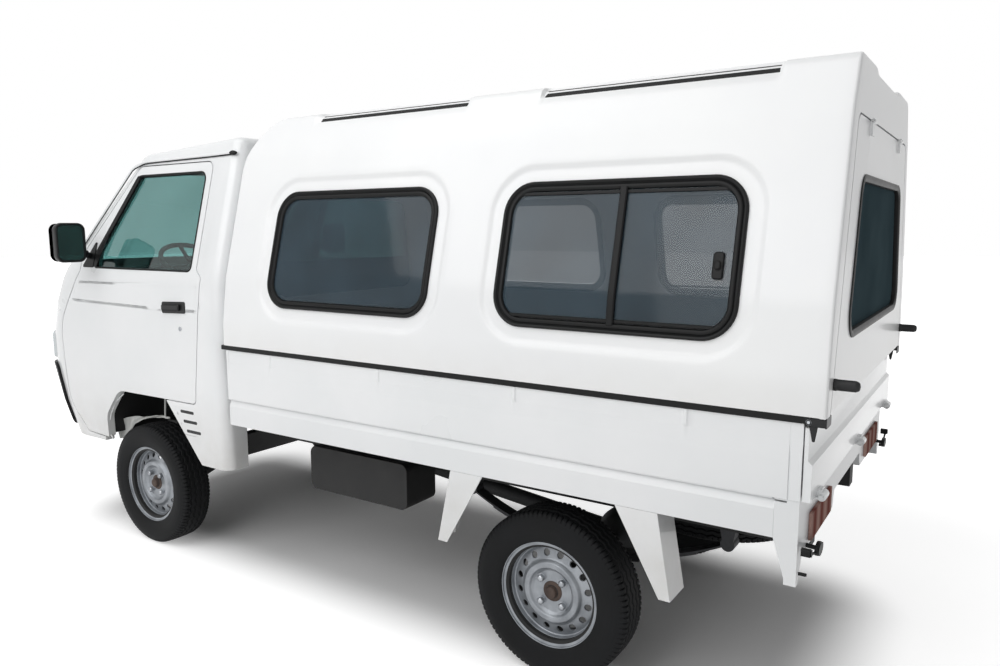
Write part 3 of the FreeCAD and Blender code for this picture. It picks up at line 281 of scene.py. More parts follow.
SLOT_MATERIAL = {
    "white_paint": enamel, "white_gelcoat": canopy_white, "tinted_glass": teal_glass,
    "grey_glass": grey_glass, "dark_plastic": dash_plastic, "seat_fabric": seat_cloth,
    "black_plastic": black_plastic, "lamp_lens": clear_lens, "tail_lens": red_lens,
    "black_rubber": black_rubber, "black_chassis_paint": frame_black, "cast_metal": cast_iron,
    "spring_steel": spring_steel, "exhaust_steel": exhaust_steel, "tyre_rubber": tyre_rubber,
    "silver_wheel_paint": wheel_silver,
}
slot_of = {part["node"]: part["material_slot"] for part in frame["record"]["subparts"]}
body_of = {name: body for body, names in frame["record"]["behaviour"]["bodies"].items() for name in names}
slot_for = {material.name: slot for slot, material in SLOT_MATERIAL.items()}
slot_for |= {nut_zinc.name: "silver_wheel_paint", wheel_dust_and_painted_shade.name: "silver_wheel_paint",
             hub_rust.name: "cast_metal", splash_grey.name: "black_plastic",
             mirror_glass.name: "tinted_glass"}


# Shapes: points are worked out in millimetres and written to the mesh in metres


def grid(points, closed_u=False, closed_v=False, flip=False):
    """Quads between neighbouring points of a [u, v] grid; a closed direction joins its last row to its first."""
    m, n = points.shape[:2]
    index = np.arange(m * n).reshape(m, n)
    if closed_u:
        index = np.vstack([index, index[:1]])
    if closed_v:
        index = np.hstack([index, index[:, :1]])
    quads = np.stack([index[:-1, :-1], index[1:, :-1], index[1:, 1:], index[:-1, 1:]], axis=-1).reshape(-1, 4)
    return points.reshape(-1, 3), quads[:, ::-1] if flip else quads


def joined(parts):
    """Several (points, quads) as one, each part's quads counted on from the points before it."""
    starts = np.cumsum([0] + [len(p) for p, _ in parts[:-1]])
    return np.vstack([p for p, _ in parts]), np.vstack([q + s for (_, q), s in zip(parts, starts)])


def other_side(part):
    """The part mirrored in the middle plane, its faces turned back outwards."""
    points, quads = part
    return points * (-1, 1, 1), quads[:, ::-1]


def both(parts):
    """Each part with its mirror image."""
    return [form for part in parts for form in (part, other_side(part))]


def halves(parts):
    """The parts, and then their mirror images."""
    return parts + [other_side(part) for part in parts]


def linked(name, data):
    """New object in the scene."""
    made = bpy.data.objects.new(name, data)
    bpy.context.scene.collection.objects.link(made)
    return made


def shaded(mesh, material, sharp):
    """One material, and smooth shading but for edges sharper than the given angle."""
    mesh.materials.clear()
    mesh.materials.append(material)
    mesh.shade_smooth()
    mesh.set_sharp_from_angle(angle=math.radians(sharp))


def taken_up(made, body, nodes):
    """Puts an object under its body's empty and hides the nodes that it stands for."""
    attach(made, body)
    if nodes:
        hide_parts(*nodes)
    return made


WELD_MM = 0.05


def piece(name, parts, material, body, nodes=(), sharp=38, outward=True):
    """One welded object from (points, quads) parts."""
    points, quads = joined(parts)
    mesh = bpy.data.meshes.new(name)
    mesh.from_pydata((points * MM).tolist(), [], quads.tolist())
    form = bmesh.new()
    form.from_mesh(mesh)
    bmesh.ops.remove_doubles(form, verts=form.verts, dist=WELD_MM * MM)
    bmesh.ops.dissolve_degenerate(form, dist=0.01 * MM, edges=form.edges)
    if outward:
        bmesh.ops.recalc_face_normals(form, faces=form.faces)
    form.to_mesh(mesh)
    form.free()
    shaded(mesh, material, sharp)
    return taken_up(linked(name, mesh), body, nodes)


def round_at(angle):
    """Points of the unit circle."""
    return np.stack([np.cos(angle), np.sin(angle)], axis=-1)


def full_turn(steps):
    """Angles that share out a whole turn."""
    return np.linspace(0, 2 * math.pi, steps, endpoint=False)


def run_lengths(path):
    """Distance along a path of points, at each of them."""
    return np.concatenate([[0], np.cumsum(np.hypot(*np.diff(path, axis=0).T))])


def read_at(places, run, path):
    """Each column of a path, read at places along its run."""
    return [np.interp(places, run, column) for column in np.asarray(path, float).T]


def unit(vector, axis=None):
    """The vector, or each one along an axis, at length 1."""
    return vector / np.linalg.norm(vector, axis=axis, keepdims=axis is not None)


def corner_turn(corners, i):
    """The corner's point and the directions into it and out of it."""
    p, q, r = (np.array(corners[k % len(corners)][:2], float) for k in (i - 1, i, i + 1))
    return q, unit(q - p), unit(r - q), min(np.linalg.norm(q - p), np.linalg.norm(r - q))


def spaced(start, end, coarse, fine, zones):
    """Places from start to end, fine in the zones and coarse between them: even steps of summed density."""
    line = np.linspace(start, end, 4001)
    close = np.any([(line > a) & (line < b) for a, b in zones], axis=0)
    density = np.where(close, 1 / fine, 1 / coarse)
    total = np.concatenate([[0], np.cumsum((density[1:] + density[:-1]) / 2 * np.diff(line))])
    return np.interp(np.linspace(0, total[-1], int(np.ceil(total[-1])) + 1), total, line)


def smooth(low, high, value):
    """0 below low, 1 above high, an S curve between."""
    t = np.clip((value - low) / (high - low), 0, 1)
    return t * t * (3 - 2 * t)


def soft_path(points, samples=9):
    """Open path through (a, b, radius) points, each corner rounded by a curve that touches both its runs."""
    rows = [np.array(points[0][:2])[None]]
    for i in range(1, len(points) - 1):
        q, into, out, shorter = corner_turn(points, i)
        turn = math.acos(max(-1, min(1, float(into @ out))))
        reach = min(points[i][2] * math.tan(turn / 2), 0.49 * shorter)
        t = np.linspace(0, 1, samples if points[i][2] else 1)[:, None]
        rows.append((1 - t) ** 2 * (q - into * reach) + 2 * t * (1 - t) * q + t ** 2 * (q + out * reach))
    rows.append(np.array(points[-1][:2])[None])
    return np.vstack(rows)


def rounded_outline(corners, step=40, samples=9):
    """Closed outline round (a, b, radius) corners in anticlockwise order, as points and outward normals:
    each corner is a true arc, and the straight runs between arcs are divided by the step."""
    points, normals = [], []
    for i, (_, _, radius) in enumerate(corners):
        q, into, out, _ = corner_turn(corners, i)
        first, last = math.atan2(-into[0], into[1]), math.atan2(-out[0], out[1])
        turn = (last - first) % (2 * math.pi)
        centre = q - into * radius * math.tan(turn / 2) + np.array([-into[1], into[0]]) * radius
        angle = first + np.linspace(0, turn, samples)
        ring = round_at(angle)
        if points:
            join_run(points, normals, centre + radius * ring[0], step)
        points.extend(centre + radius * ring)
        normals.extend(ring)
    join_run(points, normals, points[0], step)
    return np.array(points), np.array(normals)


def join_run(points, normals, end, step):
    """Adds the places along a straight run from the last point to the end, both left out."""
    start, normal = points[-1], normals[-1]
    count = int(np.linalg.norm(end - start) / step)
    for k in range(1, count + 1):
        points.append(start + (end - start) * k / (count + 1))
        normals.append(normal)


def band(outline, profile, place):
    """Profile of (outward, height) pairs carried round an outline; place turns (a, b, height) to x, y, z."""
    points, normals = outline
    a, b = (points[:, None, k] + normals[:, None, k] * profile[None, :, 0] for k in (0, 1))
    return grid(place(a, b, np.broadcast_to(profile[:, 1], a.shape)), closed_u=True, closed_v=True)


def about_axle(centre, side, off, radius, angle):
    """Points at offsets outward from the centre, and at radii and angles about the axle line through it."""
    y, z = radius * np.cos(angle), radius * np.sin(angle)
    return np.stack([centre[0] + side * (off + 0 * y), centre[1] + y, centre[2] + z], axis=-1)


def turned(profile, steps, centre, side):
    """Profile of (offset, radius) pairs turned about the axle line."""
    return grid(about_axle(centre, side, profile[None, :, 0], profile[None, :, 1], full_turn(steps)[:, None]),
                closed_u=True)


def tube(path, radius, sides=12, squash=1):
    """Round bar carried along an open path, its ends closed by shrinking the last rings to a point."""
    path = np.asarray(path, float)
    along = unit(np.gradient(path, axis=0), 1)
    guide = np.array([0, 0, 1]) if abs(along[:, 2]).mean() < 0.8 else np.array([0, 1, 0])
    first = unit(np.cross(guide, along), 1)
    second = np.cross(along, first)
    angle = full_turn(sides)[None, :, None]
    ring = first[:, None] * np.cos(angle) + second[:, None] * np.sin(angle) * squash
    body = path[:, None] + radius * ring
    ends = [np.stack([path[i][None] + radius * s * ring[i] for s in scale]) + along[i] * radius * 0.25 * shift
            for i, scale, shift in ((0, (0.02, 0.75), -1), (-1, (0.75, 0.02), 1))]
    return grid(np.vstack([ends[0], body, ends[1]]), closed_v=True, flip=True)


def slab(outline, y_rows, place):
    """Closed outline filled at both ends of its rows by shrinking it to its middle."""
    points, normals = outline
    middle = points.mean(axis=0)
    rows = [middle + (points - middle) * s for s in (0.001, 0.5, 0.96)]
    stack = rows + [points + normals * g for g, _ in y_rows] + rows[::-1]
    heights = [y_rows[0][1]] * 3 + [h for _, h in y_rows] + [y_rows[-1][1]] * 3
    a, b = (np.array([r[:, k] for r in stack]) for k in (0, 1))
    return grid(place(a, b, np.array(heights)[:, None] + np.zeros_like(a)), closed_v=True)


def plate(corners, rows, place, step=80, samples=5):
    """Slab with rounded corners."""
    return slab(rounded_outline(corners, step, samples), rows, place)


def box(a0, a1, b0, b1, radius):
    """Corners of an upright rectangle, all of one radius."""
    return [(a0, b0, radius), (a1, b0, radius), (a1, b1, radius), (a0, b1, radius)]


def oval(centre, radii, steps):
    """Round or oval outline with its outward normals."""
    ring = round_at(full_turn(steps))
    return np.array(centre) + ring * radii, ring


# Canopy

CANOPY_FRONT, CANOPY_REAR = -451, 1793
# Left half of the section from the foot to the roof's middle: half width, height and corner radius
SECTION = [(699.9, 966, 0), (697.8, 1050, 88), (674.2, 1230.3, 265), (553.2, 1705.9, 88),
           (486.5, 1848.2, 40), (239.8, 1850, 9), (208.5, 1834.1, 9), (0, 1834.1, 0)]
section_path = soft_path(SECTION)
section_run = run_lengths(section_path)
# Side windows as front, back, foot, head and corner radius; the first is fixed, the second slides.
SIDE_WINDOWS = ((-191.8, 563.3, 1131.3, 1553, 91.9), (828.1, 1561.9, 1131.3, 1553, 91.9))
ROOF_STRIPS = ((-103.2, 626.1), (879.7, 1618))
SHELL_THICK = 26
REAR_EDGE = 8
# Stands for no window near
FAR = 500
# Depth of the recess round a side window, and of the pocket under a roof strip
WINDOW_SINK, STRIP_SINK = 9, 12
# Height under which the section counts as wall, and the place behind which the nose no longer shifts the rows
WALL_HEAD, NOSE_END = 1760, -110
NOSE = ((-451, 1637.8), (-386.2, 1786.3), (-211, 1850))


def circle_through(a, b, c):
    """Centre and radius of the circle through three points."""
    rows = np.array([[2 * (b[0] - a[0]), 2 * (b[1] - a[1])], [2 * (c[0] - a[0]), 2 * (c[1] - a[1])]])
    sums = [b[0] ** 2 + b[1] ** 2 - a[0] ** 2 - a[1] ** 2, c[0] ** 2 + c[1] ** 2 - a[0] ** 2 - a[1] ** 2]
    centre = np.linalg.solve(rows, sums)
    return centre, math.hypot(centre[0] - a[0], centre[1] - a[1])


nose_centre, nose_radius = circle_through(*NOSE)


def nose_y(z):
    """Front face of the canopy: upright up to the nose, then an arc back to the roof."""
    rise = np.clip(z - nose_centre[1], 0, nose_radius * 0.9999)
    arc = nose_centre[0] - np.sqrt(nose_radius ** 2 - rise ** 2)
    return np.where(z < NOSE[0][1], CANOPY_FRONT, np.maximum(arc, CANOPY_FRONT))


def wall_x(z):
    """Half width of the side wall at a height."""
    part = section_path[section_path[:, 1] <= 1848]
    return np.interp(z, part[:, 1], part[:, 0])


def wall_place(y, z, height):
    """Point that stands height out of the left wall's face at y and z."""
    slope = wall_x(z + 2) - wall_x(z - 2)
    length = np.hypot(4, slope)
    return np.stack([wall_x(z) + height * 4 / length, y, z - height * slope / length], axis=-1)


def past_window(y, z, window):
    """Distance outside a rounded rectangle, negative inside it."""
    y0, y1, z0, z1, r = window
    across = np.abs(y - (y0 + y1) / 2) - (y1 - y0) / 2 + r
    up = np.abs(z - (z0 + z1) / 2) - (z1 - z0) / 2 + r
    return np.hypot(np.maximum(across, 0), np.maximum(up, 0)) + np.minimum(np.maximum(across, up), 0) - r


def past_side_windows(y, z):
    return np.minimum(*(past_window(y, z, w) for w in SIDE_WINDOWS))


def past_front_window(x, z):
    """Distance outside the front pane, whose sides lean in: x is stretched to the foot's half width first."""
    foot, head, low, high = 452, 403, 1131, 1553
    half = foot + (head - foot) * (z - low) / (high - low)
    return past_window(x * foot / half, z, (-foot, foot, low, high, 40))


def cut_open(a, b, distance):
    """Moves the grid's places beside an opening onto its edge, and tells which cells stay outside it."""
    near = distance(a, b)
    middle = (near[:-1, :-1] + near[1:, :-1] + near[1:, 1:] + near[:-1, 1:]) / 4
    stays = middle > 0
    corners = [(slice(None, -1), slice(None, -1)), (slice(1, None), slice(None, -1)),
               (slice(1, None), slice(1, None)), (slice(None, -1), slice(1, None))]
    kept, lost = np.zeros(a.shape, bool), np.zeros(a.shape, bool)
    for c in corners:
        kept[c] |= stays
        lost[c] |= ~stays
    edge = kept & lost
    h = 0.5
    to_a = (distance(a + h, b) - distance(a - h, b)) / (2 * h)
    to_b = (distance(a, b + h) - distance(a, b - h)) / (2 * h)
    return np.where(edge, a - near * to_a, a), np.where(edge, b - near * to_b, b), stays


def picked(part, stays):
    points, quads = part
    return points, quads[stays.ravel()]


def section_at(run):
    """Half width, height and outward normal of the section at a distance along it from the foot."""
    x, z = read_at(run, section_run, section_path)
    ahead, behind = (read_at(np.clip(run + step, 0, section_run[-1]), section_run, section_path)
                     for step in (3, -3))
    dx, dz = ahead[0] - behind[0], ahead[1] - behind[1]
    length = np.hypot(dx, dz)
    return x, z, dz / length, -dx / length


def run_at(z):
    """Distance along the section at which the side wall reaches a height."""
    return float(np.interp(z, section_path[:30, 1], section_run[:30]))


def canopy_half(thick, coarse, fine):
    """Left half of the moulded shell. Its section is carried back from the nose and sinks round the side
    windows and under the roof strips; its edges at the nose and at the back are rounded. thick moves the
    whole form inwards, for the inner face."""
    edge = 26 if thick == 0 else 6
    zones = [(run_at(1072), run_at(1228)), (run_at(1455), run_at(1612)),
             (section_run[-1] - 520, section_run[-1] - 435)]
    run = spaced(0, section_run[-1], coarse, fine, zones)
    x, z, nx, nz = section_at(run)
    x, z = x - nx * thick, z - nz * thick
    rows = spaced(CANOPY_FRONT + edge, CANOPY_REAR - REAR_EDGE, coarse, fine,
                  [zone for w in SIDE_WINDOWS for zone in ((w[0] - 58, w[0] + 96), (w[1] - 96, w[1] + 58))])
    begin = nose_y(z) + thick + edge * np.abs(nx)
    along = rows[:, None]
    shifted = begin + (along - rows[0]) * (NOSE_END - begin) / (NOSE_END - rows[0])
    y = np.where(along < NOSE_END, shifted, along)
    level = np.broadcast_to(z, y.shape)
    on_wall = z < WALL_HEAD
    y_cut, z_cut, stays = cut_open(
        y, level, lambda a, b: np.where(b < WALL_HEAD, past_side_windows(a, b), FAR))
    xs = np.where(on_wall & (np.abs(z_cut - level) > 0), np.interp(z_cut, z[on_wall], x[on_wall]), x)
    sink = np.zeros_like(y)
    if thick == 0:
        sink = WINDOW_SINK * (1 - smooth(40, 56, past_side_windows(y_cut, z_cut))) * on_wall
        for low, high in ROOF_STRIPS:
            past_end = np.maximum(low - y, y - high) + 14
            off = np.maximum(past_end, np.abs(x - 480) - 24)
            sink = sink + STRIP_SINK * (1 - smooth(-3, 3, off)) * (z > 1780)
    parts = [picked(grid(np.stack([xs - nx * sink, y_cut, z_cut - nz * sink], axis=-1)), stays)]
    turn = np.linspace(0, math.pi / 2, 6)[:, None]
    inset = edge * (1 - np.sin(turn))
    front = np.stack([x - nx * inset, nose_y(z - nz * inset) + thick + edge * np.abs(nx) * (1 - np.cos(turn)),
                      z - nz * inset], axis=-1)
    front[-1, :, 1] = y[0]
    parts.append(grid(front))
    parts.append(canopy_cap(front[0], int(np.searchsorted(-x, -500)), thick))
    if thick == 0:
        inset = REAR_EDGE * (1 - np.cos(turn))
        y_back = CANOPY_REAR - REAR_EDGE * (1 - np.sin(turn))
        back = np.stack([x - nx * inset, y_back + 0 * x, z - nz * inset], axis=-1)
        parts.append(grid(back))
        parts.append(rear_wall(run, back[-1]))
        foot = np.stack([xs[:, 0], y[:, 0], level[:, 0]], axis=-1)
        parts.append(grid(np.array([foot - (SHELL_THICK, 0, 0), foot]), flip=True))
    points, quads = joined(parts)
    return points, quads[:, ::-1] if thick else quads


def canopy_cap(rim, split, thick):
    """Front face inside the rounded rim: its rows follow the wall's places and its columns the roof's."""
    wall, roof = rim[:split + 1], rim[split:]
    x = wall[:, None, 0] * (roof[:, 0] / roof[0, 0])[None]
    z = wall[:, None, 2] + (roof[None, :, 2] - roof[0, 2]) * (np.linspace(0, 1, split + 1)[:, None] ** 8)
    x, z, stays = cut_open(x, z, past_front_window)
    return picked(grid(np.stack([x, nose_y(z) + thick, z], axis=-1)), stays)


def rear_wall(run, rim):
    """Face from the section's rear edge to the hatch's opening, with the opening's edge turned forwards."""
    opening = soft_path([(660.8, 966, 0), (492, 1702, 45), (0, 1702, 0)])
    length = run_lengths(opening)
    places = np.interp(run, [0, 690, 930, section_run[-1]], [0, 690, 790, length[-1]])
    x, z = read_at(places, length, opening)
    mouth = np.stack([x, 0 * x + CANOPY_REAR, z], axis=-1)
    rows = [rim + (mouth - rim) * s for s in (0, 0.5, 1)] + [mouth - (0, d, 0) for d in (2, SHELL_THICK)]
    return grid(np.array(rows))


def flat_place(y):
    """Place function for (x, z) outlines on an upright face at y, their heights standing out to the rear."""
    return lambda a, b, height: np.stack([a, y + height, b], axis=-1)


# Sections of the rubbers: places out from the opening's edge, and heights on the wall
FRAME_PROFILE = np.array([
    (4, -5.2), (4, -1), (2.5, 2.6), (-1, 4.2), (-5.5, 3), (-8, -1.5), (-10, -3), (-12.5, -0.8), (-17, 0.2),
    (-22, -1.2), (-25.5, -6), (-26, -12), (-26, -20), (-22, -26), (0, -29), (6, -28.5), (6, -26),
    (-1.5, -25.8), (-1.5, -5.2)], float)
PANE_TRIM_PROFILE = np.array([(10, 0.2), (9.5, 3), (4, 5), (-4, 4), (-9, 0), (-10, -8), (-10, -16), (-8, -25),
                              (8, -26.5), (8, -25.5), (-1, -24), (-1, 0)], float)
FRAME_DROP = 4
DIVIDER_Y = 1214
LATCH_Y, LATCH_Z = 1503, 1322


def wall_strip(y, z, height):
    """Strip on the wall from rows and columns of places, spread over each other."""
    return grid(wall_place(*np.broadcast_arrays(y, z, height)))


def canopy_frame_parts():
    """Two-bead rubber frames round the side windows, and the rear window's divider, track lips and latch."""
    parts = [band(rounded_outline(box(*window), 30, 12), FRAME_PROFILE - (0, FRAME_DROP), wall_place)
             for window in SIDE_WINDOWS]
    y0, y1, z0, z1, _ = SIDE_WINDOWS[1]
    post = np.array([(-11, -13), (-11, -4), (-8, -1), (8, -1), (11, -4), (11, -13)], float)
    parts.append(wall_strip(DIVIDER_Y + post[:, 0], np.linspace(z0 + 20, z1 - 20, 14)[:, None], post[:, 1]))
    lip = np.array([(-5, -12), (-4, -8), (4, -8), (5, -12)], float)
    for z_mid in (z0 + 32, z1 - 32):
        parts.append(wall_strip(np.linspace(y0 + 30, y1 - 30, 20)[:, None], z_mid + lip[:, 0], lip[:, 1]))
    for wide, high, out in ((14, 35, 0), (8, 12, 6)):
        latch = box(LATCH_Y - wide, LATCH_Y + wide, LATCH_Z - high, LATCH_Z + high, 7)
        parts.append(plate(latch, [(0, -11), (0, -4 + out), (-3, -1 + out)], wall_place, 200))
    return parts


# Wheels

VENTS = 16
WHEELS = {"front_left": (598, -1065, 1), "front_right": (-598, -1065, -1),
          "rear_left": (556, 985, 1), "rear_right": (-556, 985, -1)}
AXLE_Z = 272
# Sections of the wheel: offset outward from its middle, radius and corner radius
TYRE_PROFILE = [(55, 169.2, 0), (60, 174, 4), (67, 190, 18), (71.5, 214, 16), (71, 238, 14), (66, 254, 8),
                (62, 264, 5), (55, 270, 8), (30, 271.6, 30), (0, 272, 0)]
GROOVES, GROOVE_DEPTH, CUT_DEPTH = (-36, -13, 13, 36), 6, 5


def tyre_parts(centre, side):
    """Sidewalls that swell out and a flat tread, turned about the axle. The tread sinks along four zig-zag
    grooves, whose places go to and fro with the turn, and at cross cuts near the shoulders; two thin ridges
    run round the sidewall."""
    half = soft_path(TYRE_PROFILE, 5)
    length = run_lengths(half)
    walls = spaced(0, length[-1], 5, 2.2, [(length[-1] - 66, length[-1])])
    off, radius = read_at(walls, length, half)
    off, radius = np.concatenate([off, -off[-2::-1]]), np.concatenate([radius, radius[-2::-1]])
    steps = 480
    angle = full_turn(steps)[:, None]
    swing = np.abs((angle * 48 / (2 * math.pi)) % 1 - 0.5) * 4 - 1
    sink = np.zeros((steps, len(off)))
    for groove in GROOVES:
        away = np.abs(off[None] - groove - 4 * swing)
        sink = np.maximum(sink, GROOVE_DEPTH * (1 - smooth(1.5, 3.4, away)))
    phase = (angle * 96 / (2 * math.pi) + (off[None] > 0) * 0.5) % 1
    cut = 1 - smooth(0.07, 0.17, np.abs(phase - 0.5))
    sink = np.maximum(sink, CUT_DEPTH * cut * smooth(42, 46, np.abs(off[None])) * (radius[None] > 255))
    outer, inner = (1 - smooth(0.8, 2.4, np.abs(radius - place)) for place in (226, 182))
    ridge = outer + 1.2 * inner
    wide = off[None] + np.sign(off[None]) * ridge[None] * (np.abs(off[None]) > 50)
    bead = np.array([(-55, 169.2), (-50, 168.9), (50, 168.9), (55, 169.2)], float)
    return [grid(about_axle(centre, side, wide, radius[None] - sink, angle), closed_u=True),
            turned(bead, steps, centre, side)]


DISC_PROFILE = [(23, 33, 0), (23, 68, 5), (30, 76, 6), (37.5, 81, 5), (38, 97, 6), (27, 105, 5), (23.5, 109, 0)]
BARREL_PROFILE = [
    (14, 142, 0), (12, 146, 4), (15, 149.5, 3), (28, 150.5, 4), (32, 155, 3), (44, 156, 3), (47, 161, 3),
    (49, 166, 3), (53, 167.8, 3), (57, 168.6, 1), (57.6, 171.5, 1.5), (54, 172.5, 1.5), (52, 168, 0),
    (50, 160, 0), (44, 151.5, 0), (-50, 151.5, 0), (-52, 168, 0), (-54, 172, 0), (-57, 171, 0), (-57, 168, 0),
    (-50, 165, 3), (-46, 148, 3), (8, 147, 3), (12, 142, 0)]
# How many of the barrel's points stay silver
BARREL_FRONT = 14
# The vent band's radii and offsets, and the radius of its holes' circle and of a hole
BAND_INNER, BAND_OUTER = 109, 142
BAND_OFFSETS = (23.5, 14)
VENT_PLACE, VENT_RADIUS = 125.5, 11.5
WHEEL_STEPS = VENTS * 8
DISC_THICK = 4.5


def disc_offset(radius):
    """The vent band's face slopes between its two offsets."""
    return np.interp(radius, (BAND_INNER, BAND_OUTER), BAND_OFFSETS)


def vent_band(back, centre, side):
    """Ring of the disc with round holes: in each sector the places run from the sector's border to the hole's
    circle, and then through the hole to the back."""
    edge = 8
    t = np.linspace(-1, 1, edge + 1)[:-1]
    rise = (BAND_OUTER - BAND_INNER) * (t + 1) / 2
    angle = np.concatenate([t, np.ones(edge), -t, -np.ones(edge)]) * math.pi / VENTS
    radius = np.concatenate([np.full(edge, BAND_INNER), BAND_INNER + rise,
                             np.full(edge, BAND_OUTER), BAND_OUTER - rise])
    border = radius[:, None] * round_at(angle)
    middle = np.array([VENT_PLACE, 0])
    around = np.arctan2(border[:, 1], border[:, 0] - VENT_PLACE)
    circle = middle + VENT_RADIUS * round_at(around)
    rows = [border + (circle - border) * s for s in (0, 0.4, 0.8, 1)]
    level = [disc_offset(np.hypot(*r.T)) for r in rows]
    if not back:
        rows += [middle + (circle - middle) * 0.95] * 2
        level += [level[3] - 1.2, level[3] - 6]
    flat, off = np.array(rows), np.array(level) - back
    parts = []
    for k in range(VENTS):
        a = 2 * math.pi * (k + 0.5) / VENTS
        u = flat[..., 0] * math.cos(a) - flat[..., 1] * math.sin(a)
        v = flat[..., 0] * math.sin(a) + flat[..., 1] * math.cos(a)
        points = np.stack([centre[0] + side * off, centre[1] + u, centre[2] + v], axis=-1)
        parts.append(grid(points, closed_v=True))
    return parts


def rim_parts(centre, side):
    """Pressed disc and the lit front of the stepped barrel, with the vent band between them."""
    profiles = soft_path(DISC_PROFILE, 4), soft_path(BARREL_PROFILE[:BARREL_FRONT], 4)
    return [turned(p, WHEEL_STEPS, centre, side) for p in profiles] + vent_band(0, centre, side)


def rim_back_parts(centre, side):
    """Back of the disc, its vent band and the barrel's inside, near black: brake dust, and painted shade for the
    dark inside the wheel.
    """
    profiles = soft_path(DISC_PROFILE, 4) - (DISC_THICK, 0), soft_path(BARREL_PROFILE[BARREL_FRONT - 1:], 4)
    return [turned(p, WHEEL_STEPS, centre, side) for p in profiles] + vent_band(DISC_THICK, centre, side)


def hub_parts(centre, side):
    """Pressed grease cap over the bearing, and the flange it stands on."""
    cap = soft_path([(20, 33.5, 0), (25, 33.5, 3), (26, 28, 2), (28, 21, 3), (41, 19, 6), (44, 10, 10),
                     (44.5, 0.3, 0)], 5)
    return [turned(cap, 40, centre, side)]


BOLT_RADIUS = 54


def nut_parts(centre, side):
    """Four six-sided nuts with domed tops on the disc's flat, each on its washer face."""
    parts = []
    angle = full_turn(24)
    six = 10.5 / np.cos((angle + math.pi / 6) % (math.pi / 3) - math.pi / 6)
    rings = [(22.5, 13), (25, 13), (25.2, six), (37, six), (39, np.minimum(six, 10)), (42.5, 6), (43, 0.3)]
    for k in range(4):
        a = math.pi / 4 + k * math.pi / 2
        place = centre[0], centre[1] + BOLT_RADIUS * math.cos(a), centre[2] + BOLT_RADIUS * math.sin(a)
        parts.append(grid(np.array([about_axle(place, side, o, r, angle) for o, r in rings]), closed_v=True))
    return parts


# Cab

# Height and half width of the cab's side
CAB_SIDE = np.array([(440, 683.9), (600.8, 690.1), (774.2, 695), (929.8, 695), (1080, 694),
                     (1190, 690.1), (1240, 681.8), (1895.3, 514.3)])
DOOR_WINDOW = [(-1350.4, 1248, 10.7), (-649.9, 1248, 21.5), (-649.9, 1652.1, 35.8),
               (-1122.5, 1652.1, 39.3), (-1350.4, 1315.1, 17.9)]
WEATHERSTRIP = np.array([(4, 0.2), (3.5, 1.8), (1, 2.6), (-2, 2.2), (-4, -1), (-6, -6), (-6, -12), (-5, -13),
                         (-1, -12), (-1, 0)], float)


def cab_place(y, z, height):
    """Point that stands height out of the cab's left side at y and z."""
    slope = (np.interp(z + 3, *CAB_SIDE.T) - np.interp(z - 3, *CAB_SIDE.T)) / 6
    length = np.hypot(1, slope)
    x = np.interp(z, *CAB_SIDE.T) + height / length
    return np.stack([x, y + 0 * z, z - height * slope / length], axis=-1)


def door_trim_parts():
    """Rubber round the door's window, the black sail in its corner and the strip along its front post."""
    sail = [(-1452, 1247, 6), (-1362, 1247, 5), (-1362, 1378, 8)]
    post = [(-1362, 1250, 6), (-1338, 1250, 4), (-1332, 1313, 10), (-1108, 1646, 16), (-1130, 1655, 12),
            (-1362, 1318, 12)]
    return [band(rounded_outline(DOOR_WINDOW, 40, 8), WEATHERSTRIP, cab_place),
            plate(post, [(0, 0.2), (0, 1.6), (-2, 2.4)], cab_place, 60),
            plate(sail, [(0, 0.2), (0, 2.2), (-2.5, 4)], cab_place, 60, 6)]


def door_handle_parts():
    """Black flap handle in its shallow surround."""
    surround = [(-834, 1070, 9), (-676, 1076, 9), (-676, 1124, 9), (-834, 1118, 9)]
    flap = [(-822, 1082, 8), (-706, 1086, 8), (-706, 1112, 8), (-822, 1108, 8)]
    return [plate(surround, [(0, 0.2), (0, 3), (-3, 5)], cab_place, samples=6),
            plate(flap, [(0, 4), (0, 12), (-4, 15.5)], cab_place, samples=6)]


def key_lock_part():
    """Pressed ring with the lock's barrel in it."""
    rows = [(0, 0.2), (0, 1.6), (-2, 3), (-3.5, 3), (-4, 1.4)]
    return slab(oval((-718, 1010), 9.5, 24), rows, cab_place)


def door_swage_part():
    """Shallow raised band between the door's two creases."""
    ends = [(-1556, 1086, 10), (-854, 1077, 3), (-602, 1080, 3), (-602, 1197, 3), (-1486, 1187, 10)]
    return plate(ends, [(0, -0.6), (-3, 0.5), (-8, 1.1), (-14, 1.2)], cab_place, 40, 6)


def rail_cap_part():
    """Black cap on the gutter's rear end."""
    return slab(oval((-494, 1719), (20, 8), 24), [(0, 0.2), (0, 7), (-3, 9.5)], cab_place)


def drip_rail_part(drop, radius):
    """Rolled gutter along the pillar and over the door, drop away from its line down the door."""
    path = soft_path([(-1494, 1318, 0), (-1176, 1688, 60), (-1092, 1712, 200), (-640, 1718, 60),
                      (-484, 1722, 0)], 9)
    run = np.linspace(0, 1, 60)
    length = run_lengths(path)
    y, z = read_at(run * length[-1], length, path)
    return tube(cab_place(y, z + drop, 3.5 + 0 * z), radius, 10, 1.3)


MIRROR_Y = -1302.5


def mirror_parts():
    """Deep rounded housing that narrows forwards from its rim, on a curved arm from the sail."""
    rows = [(-9, -4.5), (-8, -0.6), (-4, 0), (-1, -1.5), (0, -7), (0, -18), (-5, -38), (-14, -52),
            (-26, -59), (-42, -61.5)]
    housing = plate(box(738, 868, 1275.5, 1447.5, 32), rows, flat_place(MIRROR_Y), 60, 9)
    arm = soft_path([(0, 0, 0), (50, 16, 24), (92, 18, 0)], 8)
    path = np.stack([662 + arm[:, 0], np.linspace(-1398, -1336, len(arm)), 1296 + arm[:, 1]], axis=-1)
    return [housing, tube(path, 11, 12, 1.3)]


